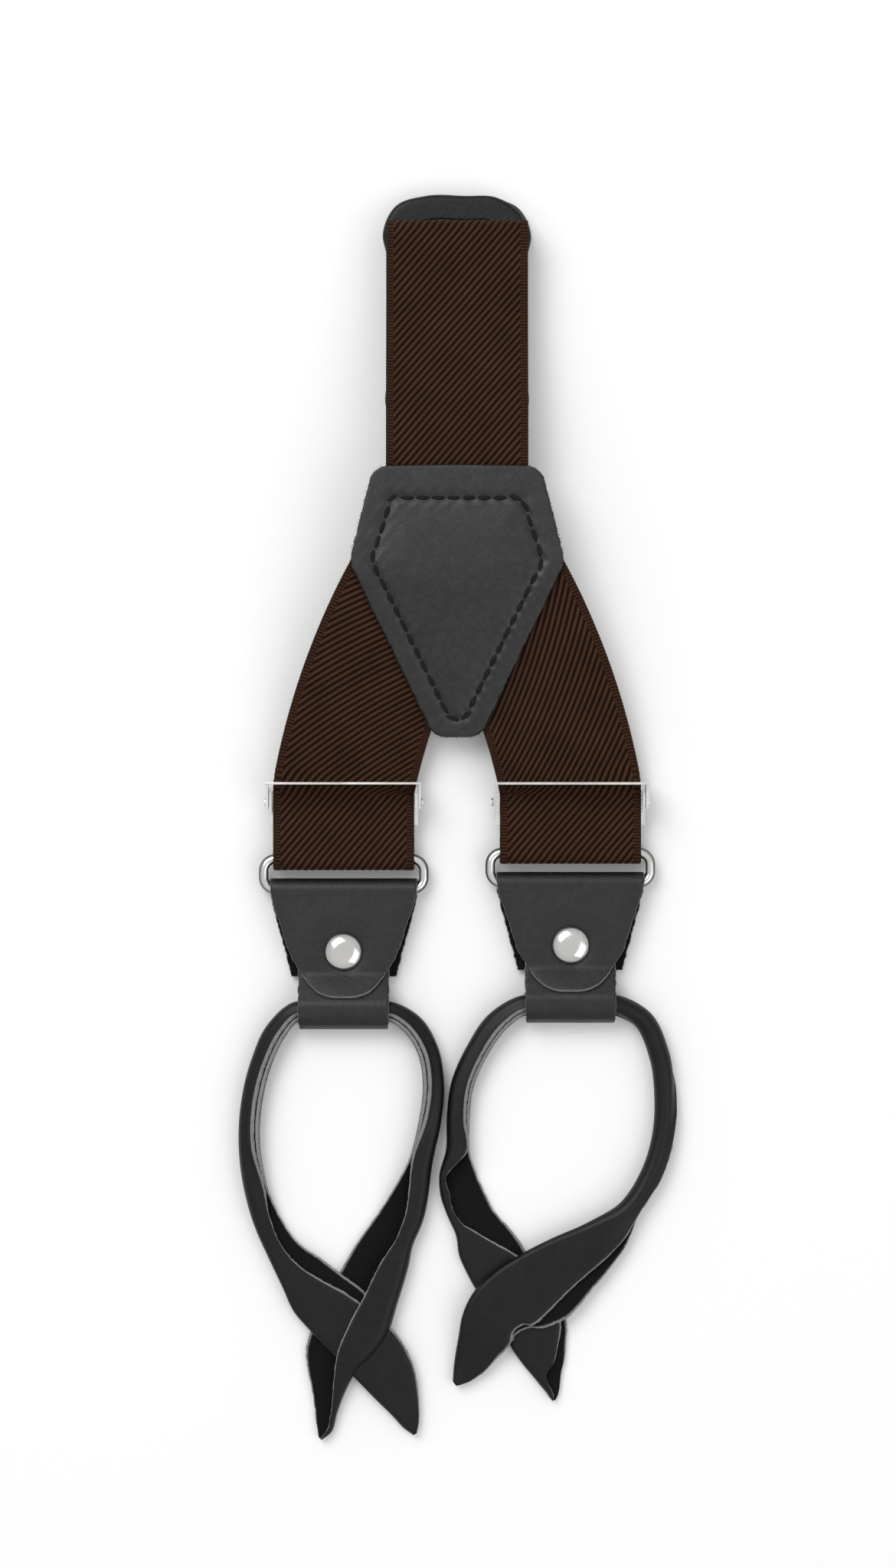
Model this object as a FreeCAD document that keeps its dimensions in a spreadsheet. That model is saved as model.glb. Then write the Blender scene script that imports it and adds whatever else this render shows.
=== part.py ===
import FreeCAD, Part
import math
import os
from FreeCAD import Rotation, Vector

# A pair of Y-back button suspenders, laid out flat on its back with the centre strap folded under.
# X is across the wearer, +Y runs from the front ends to the fold in the back strap, +Z is up, and the
# pieces rest on the plane Z = 0. All sizes are in millimetres.

os.makedirs("parts", exist_ok=True)
doc = FreeCAD.newDocument("Suspenders")

# ---------------------------------------------------------------- driving sizes
SIZES = {
    "strap_width": 35.0,          # elastic webbing
    "strap_thick": 1.4,
    "leather_thick": 1.4,         # chapes and yoke
    "strip_thick": 1.25,          # narrow strip that holds each button loop
    "strip_width": 22.5,
    "roll_size": 5.7,             # rolled part of a button loop
    "ear_thick": 2.2,             # flat end of a button loop
    "wire_size": 2.4,             # ring wire
    "ring_length": 42.3,          # over the ring's round ends
    "ring_breadth": 10.0,
    "ring_corner": 2.2,           # bend at each corner of the ring, to the middle of the wire
    "wrap_gap": 0.2,              # round a ring bar, to the strap or leather on it
    "ply_gap": 0.1,               # between plies that lie on each other
    "roll_gap": 0.1,              # round a loop's roll, inside its strip
    "stack_height": 3.5,          # middle of each leather end above the floor
    "end_offset": 28.2,           # middle of each front end from the centre line
    "left_end_at": -17.5,         # chape bar of each front ring, along Y
    "right_end_at": -15.9,
    "back_end_at": 68.0,          # chape bar of the back ring
    "chape_reach": 30.6,          # chape bar to the middle of the loop's roll
    "rivet_reach": 15.4,          # chape bar to the rivet
    "cap_size": 9.3,
    "cap_rise": 1.9,
    "stem_size": 3.0,
    "stem_gap": 0.05,
    "washer_size": 8.0,
    "washer_thick": 0.6,
    "chape_width": 36.5,
    "chape_tail": 26.0,           # width of the back leather at its end
    "yoke_wide": 53.0,            # yoke across its shoulders
    "yoke_top_width": 41.0,
    "yoke_shoulder_at": 63.5,
    "yoke_top_at": 86.8,
    "yoke_tip_at": 20.4,
    "yoke_tip_size": 11.4,
    "yoke_height": 14.8,          # middle of the strap ply inside the yoke
    "ramp_top_at": 60.0,          # the yoke and front straps slope down from here
    "ramp_foot_at": 13.0,         # to here
    "back_slope_from": 101.0,     # the back strap comes down off its chape here
    "back_slope_to": 126.0,
    "back_low_height": 7.4,       # its lower run where it lies on the back loop
    "back_fold_at": 148.4,        # outside of the fold in the back strap
    "fold_inner": 0.85,
    "stitch_pitch": 3.8,
    "stitch_length": 2.7,
    "thread_size": 0.6,
    "frame_gap": 0.3,             # strap edge to the adjuster's side wall
    "frame_thick": 0.7,
    "bed_height": 3.7,            # underside of the adjuster's back plate
    "bed_from": -1.5,             # back plate along Y
    "bed_to": 8.0,
    "window_from": 1.0,           # opening in the back plate, along Y
    "window_to": 6.0,
    "window_rim": 3.0,            # side wall to the opening in the back plate
    "wall_reach": 2.4,            # side wall each way from the pivot, along Y
    "wall_rise": 1.8,             # side wall above the pivot
    "plate_thick": 0.6,           # adjuster lever
    "ear_reach": 1.6,             # lever ear round the pivot
    "ear_rise": 2.5,              # lever ear above the foot of the plate
    "ear_gap": 0.1,               # side wall to lever ear
    "pivot_at": 4.2,
    "pivot_height": 5.2,
    "pivot_size": 1.6,
    "pivot_gap": 0.05,
    "lever_offset": 4.4,          # pivot to the near face of the upright plate
    "lever_foot": 7.0,            # underside of the upright plate
    "lever_top": 14.6,
    "tooth_reach": 0.45,          # teeth below the foot of the plate
    "tooth_width": 1.4,
    "tooth_pitch": 3.0,
    "pin_inset": 0.1,             # pin end inside its side wall
    "pin_proud": 0.3,             # pin end outside its ear
    "head_gap": 0.1,              # ear to the pin's head
    "head_thick": 0.4,
    "head_lip": 0.4,              # head beyond the pin, all round
}

sheet = doc.addObject("Spreadsheet::Sheet", "Sizes")
for row, (alias, value) in enumerate(SIZES.items(), start=1):
    sheet.set(f"A{row}", alias)
    sheet.set(f"B{row}", str(value))
    sheet.setAlias(f"B{row}", alias)
doc.recompute()


def size(alias):
    """A driving size, read from the sheet."""
    return float(sheet.get(alias))


nodes = {}


def keep(node, thing):
    """Name a finished sub-part, which also names its file."""
    thing.Label = node
    nodes[node] = thing
    return thing


def primitive(kind, name, sizes, at, turn=None):
    """A Part primitive whose sizes and place are bound to the sheet."""
    thing = doc.addObject(kind, name)
    for prop, rule in sizes.items():
        thing.setExpression(prop, rule)
    if turn is not None:
        thing.Placement = FreeCAD.Placement(Vector(0, 0, 0), turn)
    for axis, rule in zip("xyz", at):
        thing.setExpression(f"Placement.Base.{axis}", rule)
    return thing


def fused(name, pieces):
    thing = doc.addObject("Part::MultiFuse", name)
    thing.Shapes = pieces
    return thing


def cut(name, base, tool):
    thing = doc.addObject("Part::Cut", name)
    thing.Base = base
    thing.Tool = tool
    return thing


def feature(node, shape, place=None):
    """A sub-part shaped with Part's functions, for bent and sculpted leather and webbing."""
    thing = doc.addObject("Part::Feature", node)
    thing.Shape = shape
    if place is not None:
        thing.Placement = place
    return keep(node, thing)


# ---------------------------------------------------------------- bent sheets and outlines
def corner_arc(before, corner, after, radius):
    """Where an arc of this radius leaves and meets the two runs at a corner: start, middle, end, centre."""
    back = (before - corner).normalize()
    ahead = (after - corner).normalize()
    half = back.getAngle(ahead) / 2
    reach = radius / math.tan(half)
    centre = corner + (back + ahead).normalize() * (radius / math.sin(half))
    middle = centre + (corner - centre).normalize() * radius
    return corner + back * reach, middle, corner + ahead * reach, centre


def line(a, b):
    """An edge between two points, or nothing where they meet."""
    return [Part.LineSegment(a, b).toShape()] if (b - a).Length > 1e-6 else []


def sheet_face(points, radii, below, above):
    """The section, across X, between two offsets from a bent line of (y, z) points."""
    path = [Vector(0, y, z) for y, z in points]
    edges, ends = [], []
    for offset in (below, above):
        def shift(point, along):
            return point + Vector(0, -along.z, along.y).normalize() * offset
        here = shift(path[0], path[1] - path[0])
        ends.append([here])
        for before, corner, after, radius in zip(path, path[1:], path[2:], radii):
            start, middle, end, centre = corner_arc(before, corner, after, radius)
            left = (corner - before).cross(after - corner).x > 0
            grow = (radius - offset * (1 if left else -1)) / radius
            start, middle, end = (centre + (p - centre) * grow for p in (start, middle, end))
            edges += line(here, start)
            edges.append(Part.Arc(start, middle, end).toShape())
            here = end
        last = shift(path[-1], path[-1] - path[-2])
        edges += line(here, last)
        ends[-1].append(last)
    edges += line(ends[0][0], ends[1][0])
    edges += line(ends[0][1], ends[1][1])
    return Part.Face(Part.Wire(Part.__sortEdges__(edges)))


def bent_sheet(points, radii, below, above, width, middle=0.0):
    """A sheet between two offsets from a bent line of (y, z) points, as wide as it is told."""
    face = sheet_face(points, radii, below, above)
    face.translate(Vector(middle - width / 2, 0, 0))
    return face.extrude(Vector(width, 0, 0))


def outline_block(points, radii):
    """A tall block on a rounded outline of (x, y) points, to trim a bent sheet with."""
    loop = [Vector(x, y, LOW) for x, y in points]
    edges, stretches = [], []
    for i, corner in enumerate(loop):
        if radii[i] > 0:
            after = loop[(i + 1) % len(loop)]
            start, middle, end, _ = corner_arc(loop[i - 1], corner, after, radii[i])
            edges.append(Part.Arc(start, middle, end).toShape())
            stretches.append((start, end))
        else:
            stretches.append((corner, corner))
    for (_, leaving), (arriving, _) in zip(stretches, stretches[1:] + stretches[:1]):
        edges += line(leaving, arriving)
    return Part.Face(Part.Wire(Part.__sortEdges__(edges))).extrude(Vector(0, 0, HIGH - LOW))


def drill(x, y, diameter):
    """A tall upright cylinder, to drill a hole with."""
    return Part.makeCylinder(diameter / 2, HIGH - LOW, Vector(x, y, LOW))


LOW, HIGH = -50.0, 50.0           # past the object's floor and top, for trimming blocks

# ---------------------------------------------------------------- yoke and straps
strap = size("strap_thick")
width = size("strap_width")
leather = size("leather_thick")
ply = size("ply_gap")
wrap_radius = size("wire_size") / 2 + size("wrap_gap")
strap_turn = wrap_radius + strap / 2            # middle of a strap that wraps a ring bar
bar_spacing = size("ring_breadth") - size("wire_size")
front_strap_height = size("stack_height") + strap_turn
yoke_height = size("yoke_height")

RAMP_BEND = 30.0                  # bend radius of the leather and straps over the column
PAST_TRIM = 5.0                   # blanks run on this far before they are trimmed
ramp = [
    (size("yoke_top_at") + PAST_TRIM, yoke_height),
    (size("ramp_top_at"), yoke_height),
    (size("ramp_foot_at"), front_strap_height),
    (-10, front_strap_height),
]
ramp_radii = [RAMP_BEND, RAMP_BEND]

half_yoke = size("yoke_wide") / 2
half_top = size("yoke_top_width") / 2
half_tip = size("yoke_tip_size") / 2
TOP_CORNER, SHOULDER_CORNER, TIP_CORNER = 4.5, 9.0, 4.8
yoke_outline = [
    (-half_top, size("yoke_top_at")),
    (half_top, size("yoke_top_at")),
    (half_yoke, size("yoke_shoulder_at")),
    (half_tip, size("yoke_tip_at")),
    (-half_tip, size("yoke_tip_at")),
    (-half_yoke, size("yoke_shoulder_at")),
]
yoke_corners = [TOP_CORNER, TOP_CORNER, SHOULDER_CORNER, TIP_CORNER, TIP_CORNER, SHOULDER_CORNER]
YOKE_BLANK = 100.0                # wider than the yoke, before it is trimmed

for node, side in (("yoke_front_leather", -1), ("yoke_back_leather", 1)):
    near, far = strap / 2 + ply, strap / 2 + ply + leather
    blank = bent_sheet(ramp, ramp_radii, *sorted((side * near, side * far)), YOKE_BLANK)
    feature(node, blank.common(outline_block(yoke_outline, yoke_corners)))


def yoke_surface(y):
    """Height of the front leather's face, and its slope, at a place along Y."""
    rise = strap / 2 + ply + leather
    slope = math.atan2(yoke_height - front_strap_height, size("ramp_top_at") - size("ramp_foot_at"))
    flat = yoke_height + rise
    bend_reach = RAMP_BEND * math.tan(slope / 2)
    if y > size("ramp_top_at") + bend_reach:
        return flat, 0.0
    if y < size("ramp_top_at") - bend_reach:
        drop = (size("ramp_top_at") - y) * math.tan(slope)
        return yoke_height - drop + rise / math.cos(slope), slope
    return flat + ply - (size("ramp_top_at") - y) * math.tan(slope / 2) / 2, slope / 2


# the seam's corners, 5 to 8 mm inside the yoke's edge
stitch_corners = [(-16.0, 79.0), (16.0, 79.0), (21.0, 63.6), (1.9, 25.0), (-1.9, 25.0), (-21.0, 63.6)]
stitches = []
for a, b in zip(stitch_corners, stitch_corners[1:] + stitch_corners[:1]):
    run = Vector(b[0] - a[0], b[1] - a[1], 0)
    count = max(1, round(run.Length / size("stitch_pitch")))
    for k in range(count):
        place = Vector(a[0], a[1], 0) + run * ((k + 0.5) / count)
        height, slope = yoke_surface(place.y)
        thread = Part.makeBox(
            size("stitch_length"), size("thread_size"), size("thread_size") / 2,
            Vector(-size("stitch_length") / 2, -size("thread_size") / 2, 0),
        )
        thread.rotate(Vector(0, 0, 0), Vector(0, 0, 1), math.degrees(math.atan2(run.y, run.x)))
        thread.rotate(Vector(0, 0, 0), Vector(1, 0, 0), math.degrees(slope))
        thread.translate(Vector(place.x, place.y, height + ply))
        stitches.append(thread)
feature("yoke_stitching", Part.makeCompound(stitches))

# back strap: out of the yoke, folded under at the top, down to its ring and sewn back
back_bar_lean = math.radians(53)  # the back ring leans up off its chape, so the strap clears the leather
back_bar_at = size("back_end_at") - bar_spacing * math.cos(back_bar_lean)
back_bar_height = size("stack_height") + bar_spacing * math.sin(back_bar_lean)
run_under = back_bar_height + strap_turn        # lower run beside the ring
fold_turn = size("fold_inner") + strap / 2
fold_at = size("back_fold_at") - fold_turn - strap / 2
low_run = size("back_low_height")
top_run = low_run + 2 * fold_turn
YOKE_END_OF_STRAP = 66.0
SEWN_RETURN = 9.0
SLOPE_BEND = 25.0
back_line = [
    (YOKE_END_OF_STRAP, yoke_height),
    (size("back_slope_from"), yoke_height),
    (size("back_slope_to"), top_run),
    (fold_at + fold_turn, top_run),
    (fold_at + fold_turn, low_run),
    (size("back_slope_to"), low_run),
    (size("back_slope_from"), run_under),
    (back_bar_at - strap_turn, run_under),
    (back_bar_at - strap_turn, back_bar_height - strap_turn),
    (back_bar_at + SEWN_RETURN, back_bar_height - strap_turn),
]
back_bends = [SLOPE_BEND, SLOPE_BEND, fold_turn, fold_turn, SLOPE_BEND, SLOPE_BEND, strap_turn, strap_turn]
feature("back_strap", bent_sheet(back_line, back_bends, -strap / 2, strap / 2, width))

# front straps: out of the yoke, through the adjuster, round the ring and back under the adjuster
FRONT_STRAP_END_IN_YOKE = 65.5
MITRE_GAP = 0.3                   # between the two front straps inside the yoke
UNDER_ADJUSTER = 4.5
SPREAD_AT_ADJUSTER, SPREAD_AT_YOKE = 12.0, 28.5   # degrees off Y where the strap starts and ends its bend
SPREAD_FROM = 8.0                 # the strap is straight below here
SPREAD_RADIUS = 165.0
INTO_YOKE = 40.0                  # straight on from the end of the bend, before the strap is trimmed
BLANK_REACH = 50.0                # past a front strap's ends, for the blocks that trim it


def on_spread(end_x, angle, across):
    """A point beside the middle of a front strap where it spreads, in the mirrored right-hand frame."""
    first = math.radians(SPREAD_AT_ADJUSTER)
    centre_x = end_x - SPREAD_RADIUS * math.cos(first)
    centre_y = SPREAD_FROM - SPREAD_RADIUS * math.sin(first)
    reach = SPREAD_RADIUS + across
    return Vector(centre_x + reach * math.cos(angle), centre_y + reach * math.sin(angle), LOW)


def front_strap_outline():
    """The right-hand front strap seen from above, as a tall block."""
    end_x = size("end_offset")
    first, last = math.radians(SPREAD_AT_ADJUSTER), math.radians(SPREAD_AT_YOKE)
    outer = [on_spread(end_x, a, width / 2) for a in (first, (first + last) / 2, last)]
    inner = [on_spread(end_x, a, -width / 2) for a in (first, (first + last) / 2, last)]
    along = Vector(-math.sin(last), math.cos(last), 0) * INTO_YOKE
    edges = [Part.Arc(*outer).toShape(), Part.Arc(*inner).toShape()]
    edges += line(outer[-1], outer[-1] + along) + line(inner[-1], inner[-1] + along)
    edges += line(outer[-1] + along, inner[-1] + along) + line(outer[0], inner[0])
    spread = Part.Face(Part.Wire(Part.__sortEdges__(edges))).extrude(Vector(0, 0, HIGH - LOW))
    straight = Part.makeBox(width, outer[0].y + BLANK_REACH, HIGH - LOW,
                            Vector(end_x - width / 2, -BLANK_REACH, LOW))
    cap = Part.makeBox(2 * BLANK_REACH, FRONT_STRAP_END_IN_YOKE + BLANK_REACH, HIGH - LOW,
                       Vector(MITRE_GAP / 2, -BLANK_REACH, LOW))
    return spread.fuse(straight).common(cap)


def front_strap(bar_at):
    """The right-hand front strap, from the yoke round the ring bar at this place along Y."""
    line_points = [
        (FRONT_STRAP_END_IN_YOKE + PAST_TRIM, yoke_height),
        (size("ramp_top_at"), yoke_height),
        (size("ramp_foot_at"), front_strap_height),
        (bar_at - strap_turn, front_strap_height),
        (bar_at - strap_turn, size("stack_height") - strap_turn),
        (UNDER_ADJUSTER, size("stack_height") - strap_turn),
    ]
    bends = [RAMP_BEND, RAMP_BEND, strap_turn, strap_turn]
    blank = bent_sheet(line_points, bends, -strap / 2, strap / 2, 4 * BLANK_REACH)
    return blank.common(front_strap_outline())


right_bar_at = size("right_end_at") + bar_spacing
left_bar_at = size("left_end_at") + bar_spacing
feature("right_front_strap", front_strap(right_bar_at))
feature("left_front_strap", front_strap(left_bar_at).mirror(Vector(0, 0, 0), Vector(1, 0, 0)))


# ---------------------------------------------------------------- leather ends, in their own frame
# The chape bar of the ring lies along X through (0, 0, stack_height). The loop hangs towards -Y.
FLAP_TIP, CHAPE_TAIL_END = -26.6, -21.8
TONGUE_NARROWS_FROM = -1.0
TONGUE_MIDDLE, TONGUE_TIP_HALF = (13.0, -17.0), 6.5
TAIL_NARROWS_FROM = -2.0
CHAPE_BLANK_END = -35.0           # past the tongue and the tail, before they are trimmed
STRIP_TOP_END = -6.5              # inside the chape, clear of the ring
STRIP_LIFT_FROM, STRIP_DROP_FROM = -21.5, -22.8   # where the strip's plies part round the loop's roll
STRIP_BEND, STRIP_ROUND_BEND = 5.0, 3.0
FLOOR_GAP = 0.15
stack = size("stack_height")
strip = size("strip_thick")
chape_turn = wrap_radius + leather / 2
rivet_y = -size("rivet_reach")
hole_size = size("stem_size") + 2 * size("stem_gap")
roll_y = -size("chape_reach")
roll_height = size("roll_size") / 2 + size("roll_gap") + strip + FLOOR_GAP
strip_turn = size("roll_size") / 2 + size("roll_gap") + strip / 2
strip_upper = stack + strip / 2 + ply / 2
strip_lower = stack - strip / 2 - ply / 2
ROLL_SHOULDER = 2.2               # the strip is level this far past the middle of the roll
lift = math.atan2(roll_height + strip_turn - strip_upper, STRIP_LIFT_FROM - roll_y - ROLL_SHOULDER)


def chape_shape():
    """One piece of leather round the ring bar: a tongue in front and a tapered tail behind."""
    half = size("chape_width") / 2
    middle_x, middle_y = TONGUE_MIDDLE
    tongue = [(-half, PAST_TRIM), (half, PAST_TRIM), (half, TONGUE_NARROWS_FROM), (middle_x, middle_y),
              (TONGUE_TIP_HALF, FLAP_TIP), (-TONGUE_TIP_HALF, FLAP_TIP), (-middle_x, middle_y),
              (-half, TONGUE_NARROWS_FROM)]
    tongue_corners = [0, 0, 10, 14, 9, 9, 14, 10]
    tail = size("chape_tail") / 2
    back = [(-half, PAST_TRIM), (half, PAST_TRIM), (half, TAIL_NARROWS_FROM), (tail, CHAPE_TAIL_END),
            (-tail, CHAPE_TAIL_END), (-half, TAIL_NARROWS_FROM)]
    tail_corners = [0, 0, 3, 3, 3, 3]
    over_strip = strip / 2 + ply + leather / 2
    bend_y = STRIP_LIFT_FROM + over_strip * math.tan(lift / 2)
    path = [(CHAPE_BLANK_END, stack + chape_turn + (bend_y - CHAPE_BLANK_END) * math.tan(lift)),
            (bend_y, stack + chape_turn),
            (chape_turn, stack + chape_turn), (chape_turn, stack - chape_turn),
            (CHAPE_BLANK_END, stack - chape_turn)]
    bends = [STRIP_BEND - over_strip, chape_turn, chape_turn]
    folded = bent_sheet(path, bends, -leather / 2, leather / 2, size("chape_width"))
    upper = Part.makeBox(2 * HIGH, 2 * HIGH, HIGH, Vector(-HIGH, -HIGH, stack))
    lower = Part.makeBox(2 * HIGH, 2 * HIGH, HIGH, Vector(-HIGH, -HIGH, stack - HIGH))
    front = folded.common(upper).common(outline_block(tongue, tongue_corners))
    behind = folded.common(lower).common(outline_block(back, tail_corners))
    return front.fuse(behind).cut(drill(0, rivet_y, hole_size))


def strip_shape():
    """A narrow strip folded round the loop's roll, its two ends riveted inside the chape."""
    path = [(STRIP_TOP_END, strip_upper), (STRIP_LIFT_FROM, strip_upper),
            (roll_y + ROLL_SHOULDER, roll_height + strip_turn),
            (roll_y - strip_turn, roll_height + strip_turn),
            (roll_y - strip_turn, roll_height - strip_turn),
            (roll_y + ROLL_SHOULDER, roll_height - strip_turn),
            (STRIP_DROP_FROM, strip_lower), (STRIP_TOP_END, strip_lower)]
    bends = [STRIP_BEND, STRIP_ROUND_BEND, strip_turn, strip_turn, STRIP_ROUND_BEND, STRIP_BEND]
    folded = bent_sheet(path, bends, -strip / 2, strip / 2, size("strip_width"))
    return folded.cut(drill(0, rivet_y, hole_size))


def smooth(stations):
    """Stations of a loop half with one more between each two, on a smooth curve through them."""
    padded = [stations[0]] + stations + [stations[-1]]
    out = []
    for a, b, c, d in zip(padded, padded[1:], padded[2:], padded[3:]):
        out.append(b)
        out.append(tuple((9 * (q + r) - p - s) / 16 for p, q, r, s in zip(a, b, c, d)))
    return out + [stations[-1]]


EIGHT_SIDED = 0.29                # corner cut of a regular eight-sided section, as a share of its width
PINCH = 0.92                      # the roll is this much slimmer inside its strip
PAST_STRIP = 1.0                  # the roll starts to turn this far outside its strip


def loop_section(x, y, z, heading, wide, tall):
    """An eight-sided section of the loop's leather, upright and square to the way it heads."""
    across = Vector(math.cos(heading), math.sin(heading), 0)
    up = Vector(0, 0, 1)
    chamfer = EIGHT_SIDED * min(wide, tall)
    corners = []
    for sx, sz, flat in ((1, 1, 0), (1, 1, 1), (-1, 1, 1), (-1, 1, 0), (-1, -1, 0), (-1, -1, 1), (1, -1, 1),
                         (1, -1, 0)):
        a = wide / 2 - (chamfer if flat else 0)
        b = tall / 2 - (0 if flat else chamfer)
        corners.append(Vector(x, y, z) + across * (sx * a) + up * (sz * b))
    return Part.makePolygon(corners + corners[:1])


def loop_shape(under, over):
    """A button loop: a rolled leather cord through the strip, whose two flat ears cross."""
    roll = size("roll_size")
    pinched = roll * PINCH
    half_bar = size("strip_width") / 2 + PAST_STRIP
    sides = []
    for half, way in ((under, -1), (over, 1)):
        leaving = (way * half_bar, 0.0, roll_height, pinched, pinched)
        sides.append(smooth([leaving] + [(x, y, z, wide or roll, tall or roll)
                                         for x, y, z, wide, tall in half]))
    path = sides[0][::-1] + sides[1]
    sections = []
    for i, (x, y, z, wide, tall) in enumerate(path):
        before, after = path[max(i - 1, 0)], path[min(i + 1, len(path) - 1)]
        heading = math.atan2(after[1] - before[1], after[0] - before[0]) - math.pi / 2
        sections.append(loop_section(x, y + roll_y, z, heading, wide, tall))
    return Part.makeLoft(sections, True, True)


# Each half of a loop from the strip to the tip of its ear: x, y from the roll's middle, height, width and
# thickness, where 0 means the rolled cord's own size.
LEFT_UNDER = [
    (-16.5, -4.2, 3.6, 0, 0), (-20.5, -12.6, 3.1, 0, 0), (-23.0, -23.0, 3.0, 0, 0), (-23.5, -34.0, 3.0, 0, 0),
    (-22.3, -43.5, 2.9, 6.2, 5.0), (-19.3, -53.5, 2.2, 8.0, 3.6), (-12.3, -63.2, 1.5, 11.5, 2.2),
    (-4.5, -72.3, 1.3, 15.0, 2.2), (6.0, -84.3, 1.3, 15.5, 2.2), (13.5, -95.5, 1.3, 10.5, 2.2),
    (16.9, -105.0, 1.3, 4.5, 2.0),
]
LEFT_OVER = [
    (17.0, -3.0, 3.6, 0, 0), (20.9, -9.5, 3.1, 0, 0), (22.3, -17.5, 3.0, 0, 0), (21.6, -27.0, 3.0, 0, 0),
    (19.6, -36.5, 3.0, 0, 0), (17.2, -44.5, 3.2, 7.0, 4.6), (13.6, -52.0, 3.6, 12.0, 3.4),
    (7.8, -63.2, 4.2, 16.5, 2.2), (2.4, -75.0, 4.2, 18.5, 2.2), (-0.6, -84.5, 3.9, 17.0, 2.2),
    (-3.6, -95.0, 2.8, 11.0, 2.2), (-6.0, -106.3, 1.5, 4.0, 2.0),
]
RIGHT_UNDER = [
    (-17.5, -3.2, 3.6, 0, 0), (-23.5, -11.5, 3.1, 0, 0), (-27.1, -20.0, 3.0, 0, 0), (-28.1, -28.0, 3.0, 0, 0),
    (-28.3, -36.0, 3.0, 7.0, 4.6), (-27.8, -43.5, 2.6, 9.0, 3.4), (-25.4, -51.0, 1.8, 11.5, 2.4),
    (-20.8, -59.8, 1.3, 14.0, 2.2), (-14.7, -71.4, 1.3, 16.0, 2.2), (-9.0, -84.0, 1.3, 13.0, 2.2),
    (-5.2, -97.0, 1.3, 4.5, 2.0),
]
RIGHT_OVER = [
    (17.6, -3.0, 3.6, 0, 0), (22.1, -12.0, 3.1, 0, 0), (23.5, -22.0, 3.0, 0, 0), (23.1, -31.5, 3.0, 0, 0),
    (20.5, -41.0, 3.2, 7.0, 4.6), (14.5, -50.5, 3.6, 9.0, 3.4), (7.7, -56.6, 4.0, 12.0, 2.6),
    (0.2, -61.8, 4.2, 15.5, 2.2), (-9.0, -68.0, 4.2, 17.5, 2.2), (-17.9, -75.5, 4.2, 16.0, 2.2),
    (-23.6, -84.5, 3.2, 12.0, 2.2), (-27.8, -94.0, 1.6, 4.5, 2.0),
]
BACK_UNDER = [
    (-15.2, -4.4, 3.6, 0, 0), (-14.6, -12.0, 3.0, 0, 0), (-14.4, -24.0, 2.95, 0, 0),
    (-14.4, -35.0, 2.5, 6.2, 4.6), (-14.6, -44.0, 1.8, 6.5, 3.2), (-11.5, -51.0, 1.65, 6.5, 2.9),
    (-3.0, -53.2, 1.65, 6.5, 2.9), (4.5, -50.0, 1.6, 7.5, 2.6), (7.0, -42.0, 1.4, 10.0, 2.3),
    (6.0, -30.0, 1.4, 13.0, 2.2), (4.0, -18.0, 1.3, 9.0, 2.2), (3.0, -10.0, 1.3, 4.0, 2.0),
]
BACK_OVER = [
    (15.2, -4.4, 3.6, 0, 0), (14.6, -12.0, 3.0, 0, 0), (14.4, -24.0, 2.95, 0, 0),
    (14.4, -35.0, 3.4, 6.2, 4.6), (14.6, -44.0, 4.4, 6.5, 3.2), (11.5, -51.0, 4.75, 6.5, 2.9),
    (3.0, -53.2, 4.75, 6.5, 2.9), (-4.5, -50.0, 4.8, 7.5, 2.6), (-7.0, -42.0, 4.8, 10.0, 2.3),
    (-6.0, -30.0, 4.6, 13.0, 2.2), (-4.0, -18.0, 4.5, 9.0, 2.2), (-3.0, -10.0, 4.3, 4.0, 2.0),
]

# ---------------------------------------------------------------- rings, rivets and the three leather ends
BORE = "Sizes.wire_size / 2"
SPACING = "(Sizes.ring_breadth - Sizes.wire_size)"
STRAIGHT = "(Sizes.ring_length - Sizes.wire_size - 2 * Sizes.ring_corner)"
SIDE_BAR = f"({SPACING} - 2 * Sizes.ring_corner)"
ALONG_X = Rotation(Vector(0, 1, 0), 90)
ALONG_Y = Rotation(Vector(1, 0, 0), -90)


def ring(end):
    """A flat oblong of round wire, whose chape bar lies on the end's own X axis."""
    pieces = []
    for name, at_y in (("chape_bar", "0"), ("strap_bar", SPACING)):
        pieces.append(primitive("Part::Cylinder", f"{end}_{name}", {"Radius": BORE, "Height": STRAIGHT},
                                (f"-{STRAIGHT} / 2", at_y, "0"), ALONG_X))
    for way in (-1, 1):
        side_x = f"{way} * ({STRAIGHT} / 2 + Sizes.ring_corner)"
        pieces.append(primitive("Part::Cylinder", f"{end}_side_bar_{way + 2}",
                                {"Radius": BORE, "Height": SIDE_BAR}, (side_x, "Sizes.ring_corner", "0"),
                                ALONG_Y))
        for at_y, turn in (("Sizes.ring_corner", (180, 270)), (f"({SPACING} - Sizes.ring_corner)", (90, 0))):
            corner = primitive("Part::Torus", f"{end}_corner_{way + 2}_{turn[0]}",
                               {"Radius1": "Sizes.ring_corner", "Radius2": BORE},
                               (f"{way} * {STRAIGHT} / 2", at_y, "0"),
                               Rotation(Vector(0, 0, 1), turn[0] if way < 0 else turn[1]))
            corner.Angle3 = 90
            pieces.append(corner)
    return fused(f"{end}_ring_wire", pieces)


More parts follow.
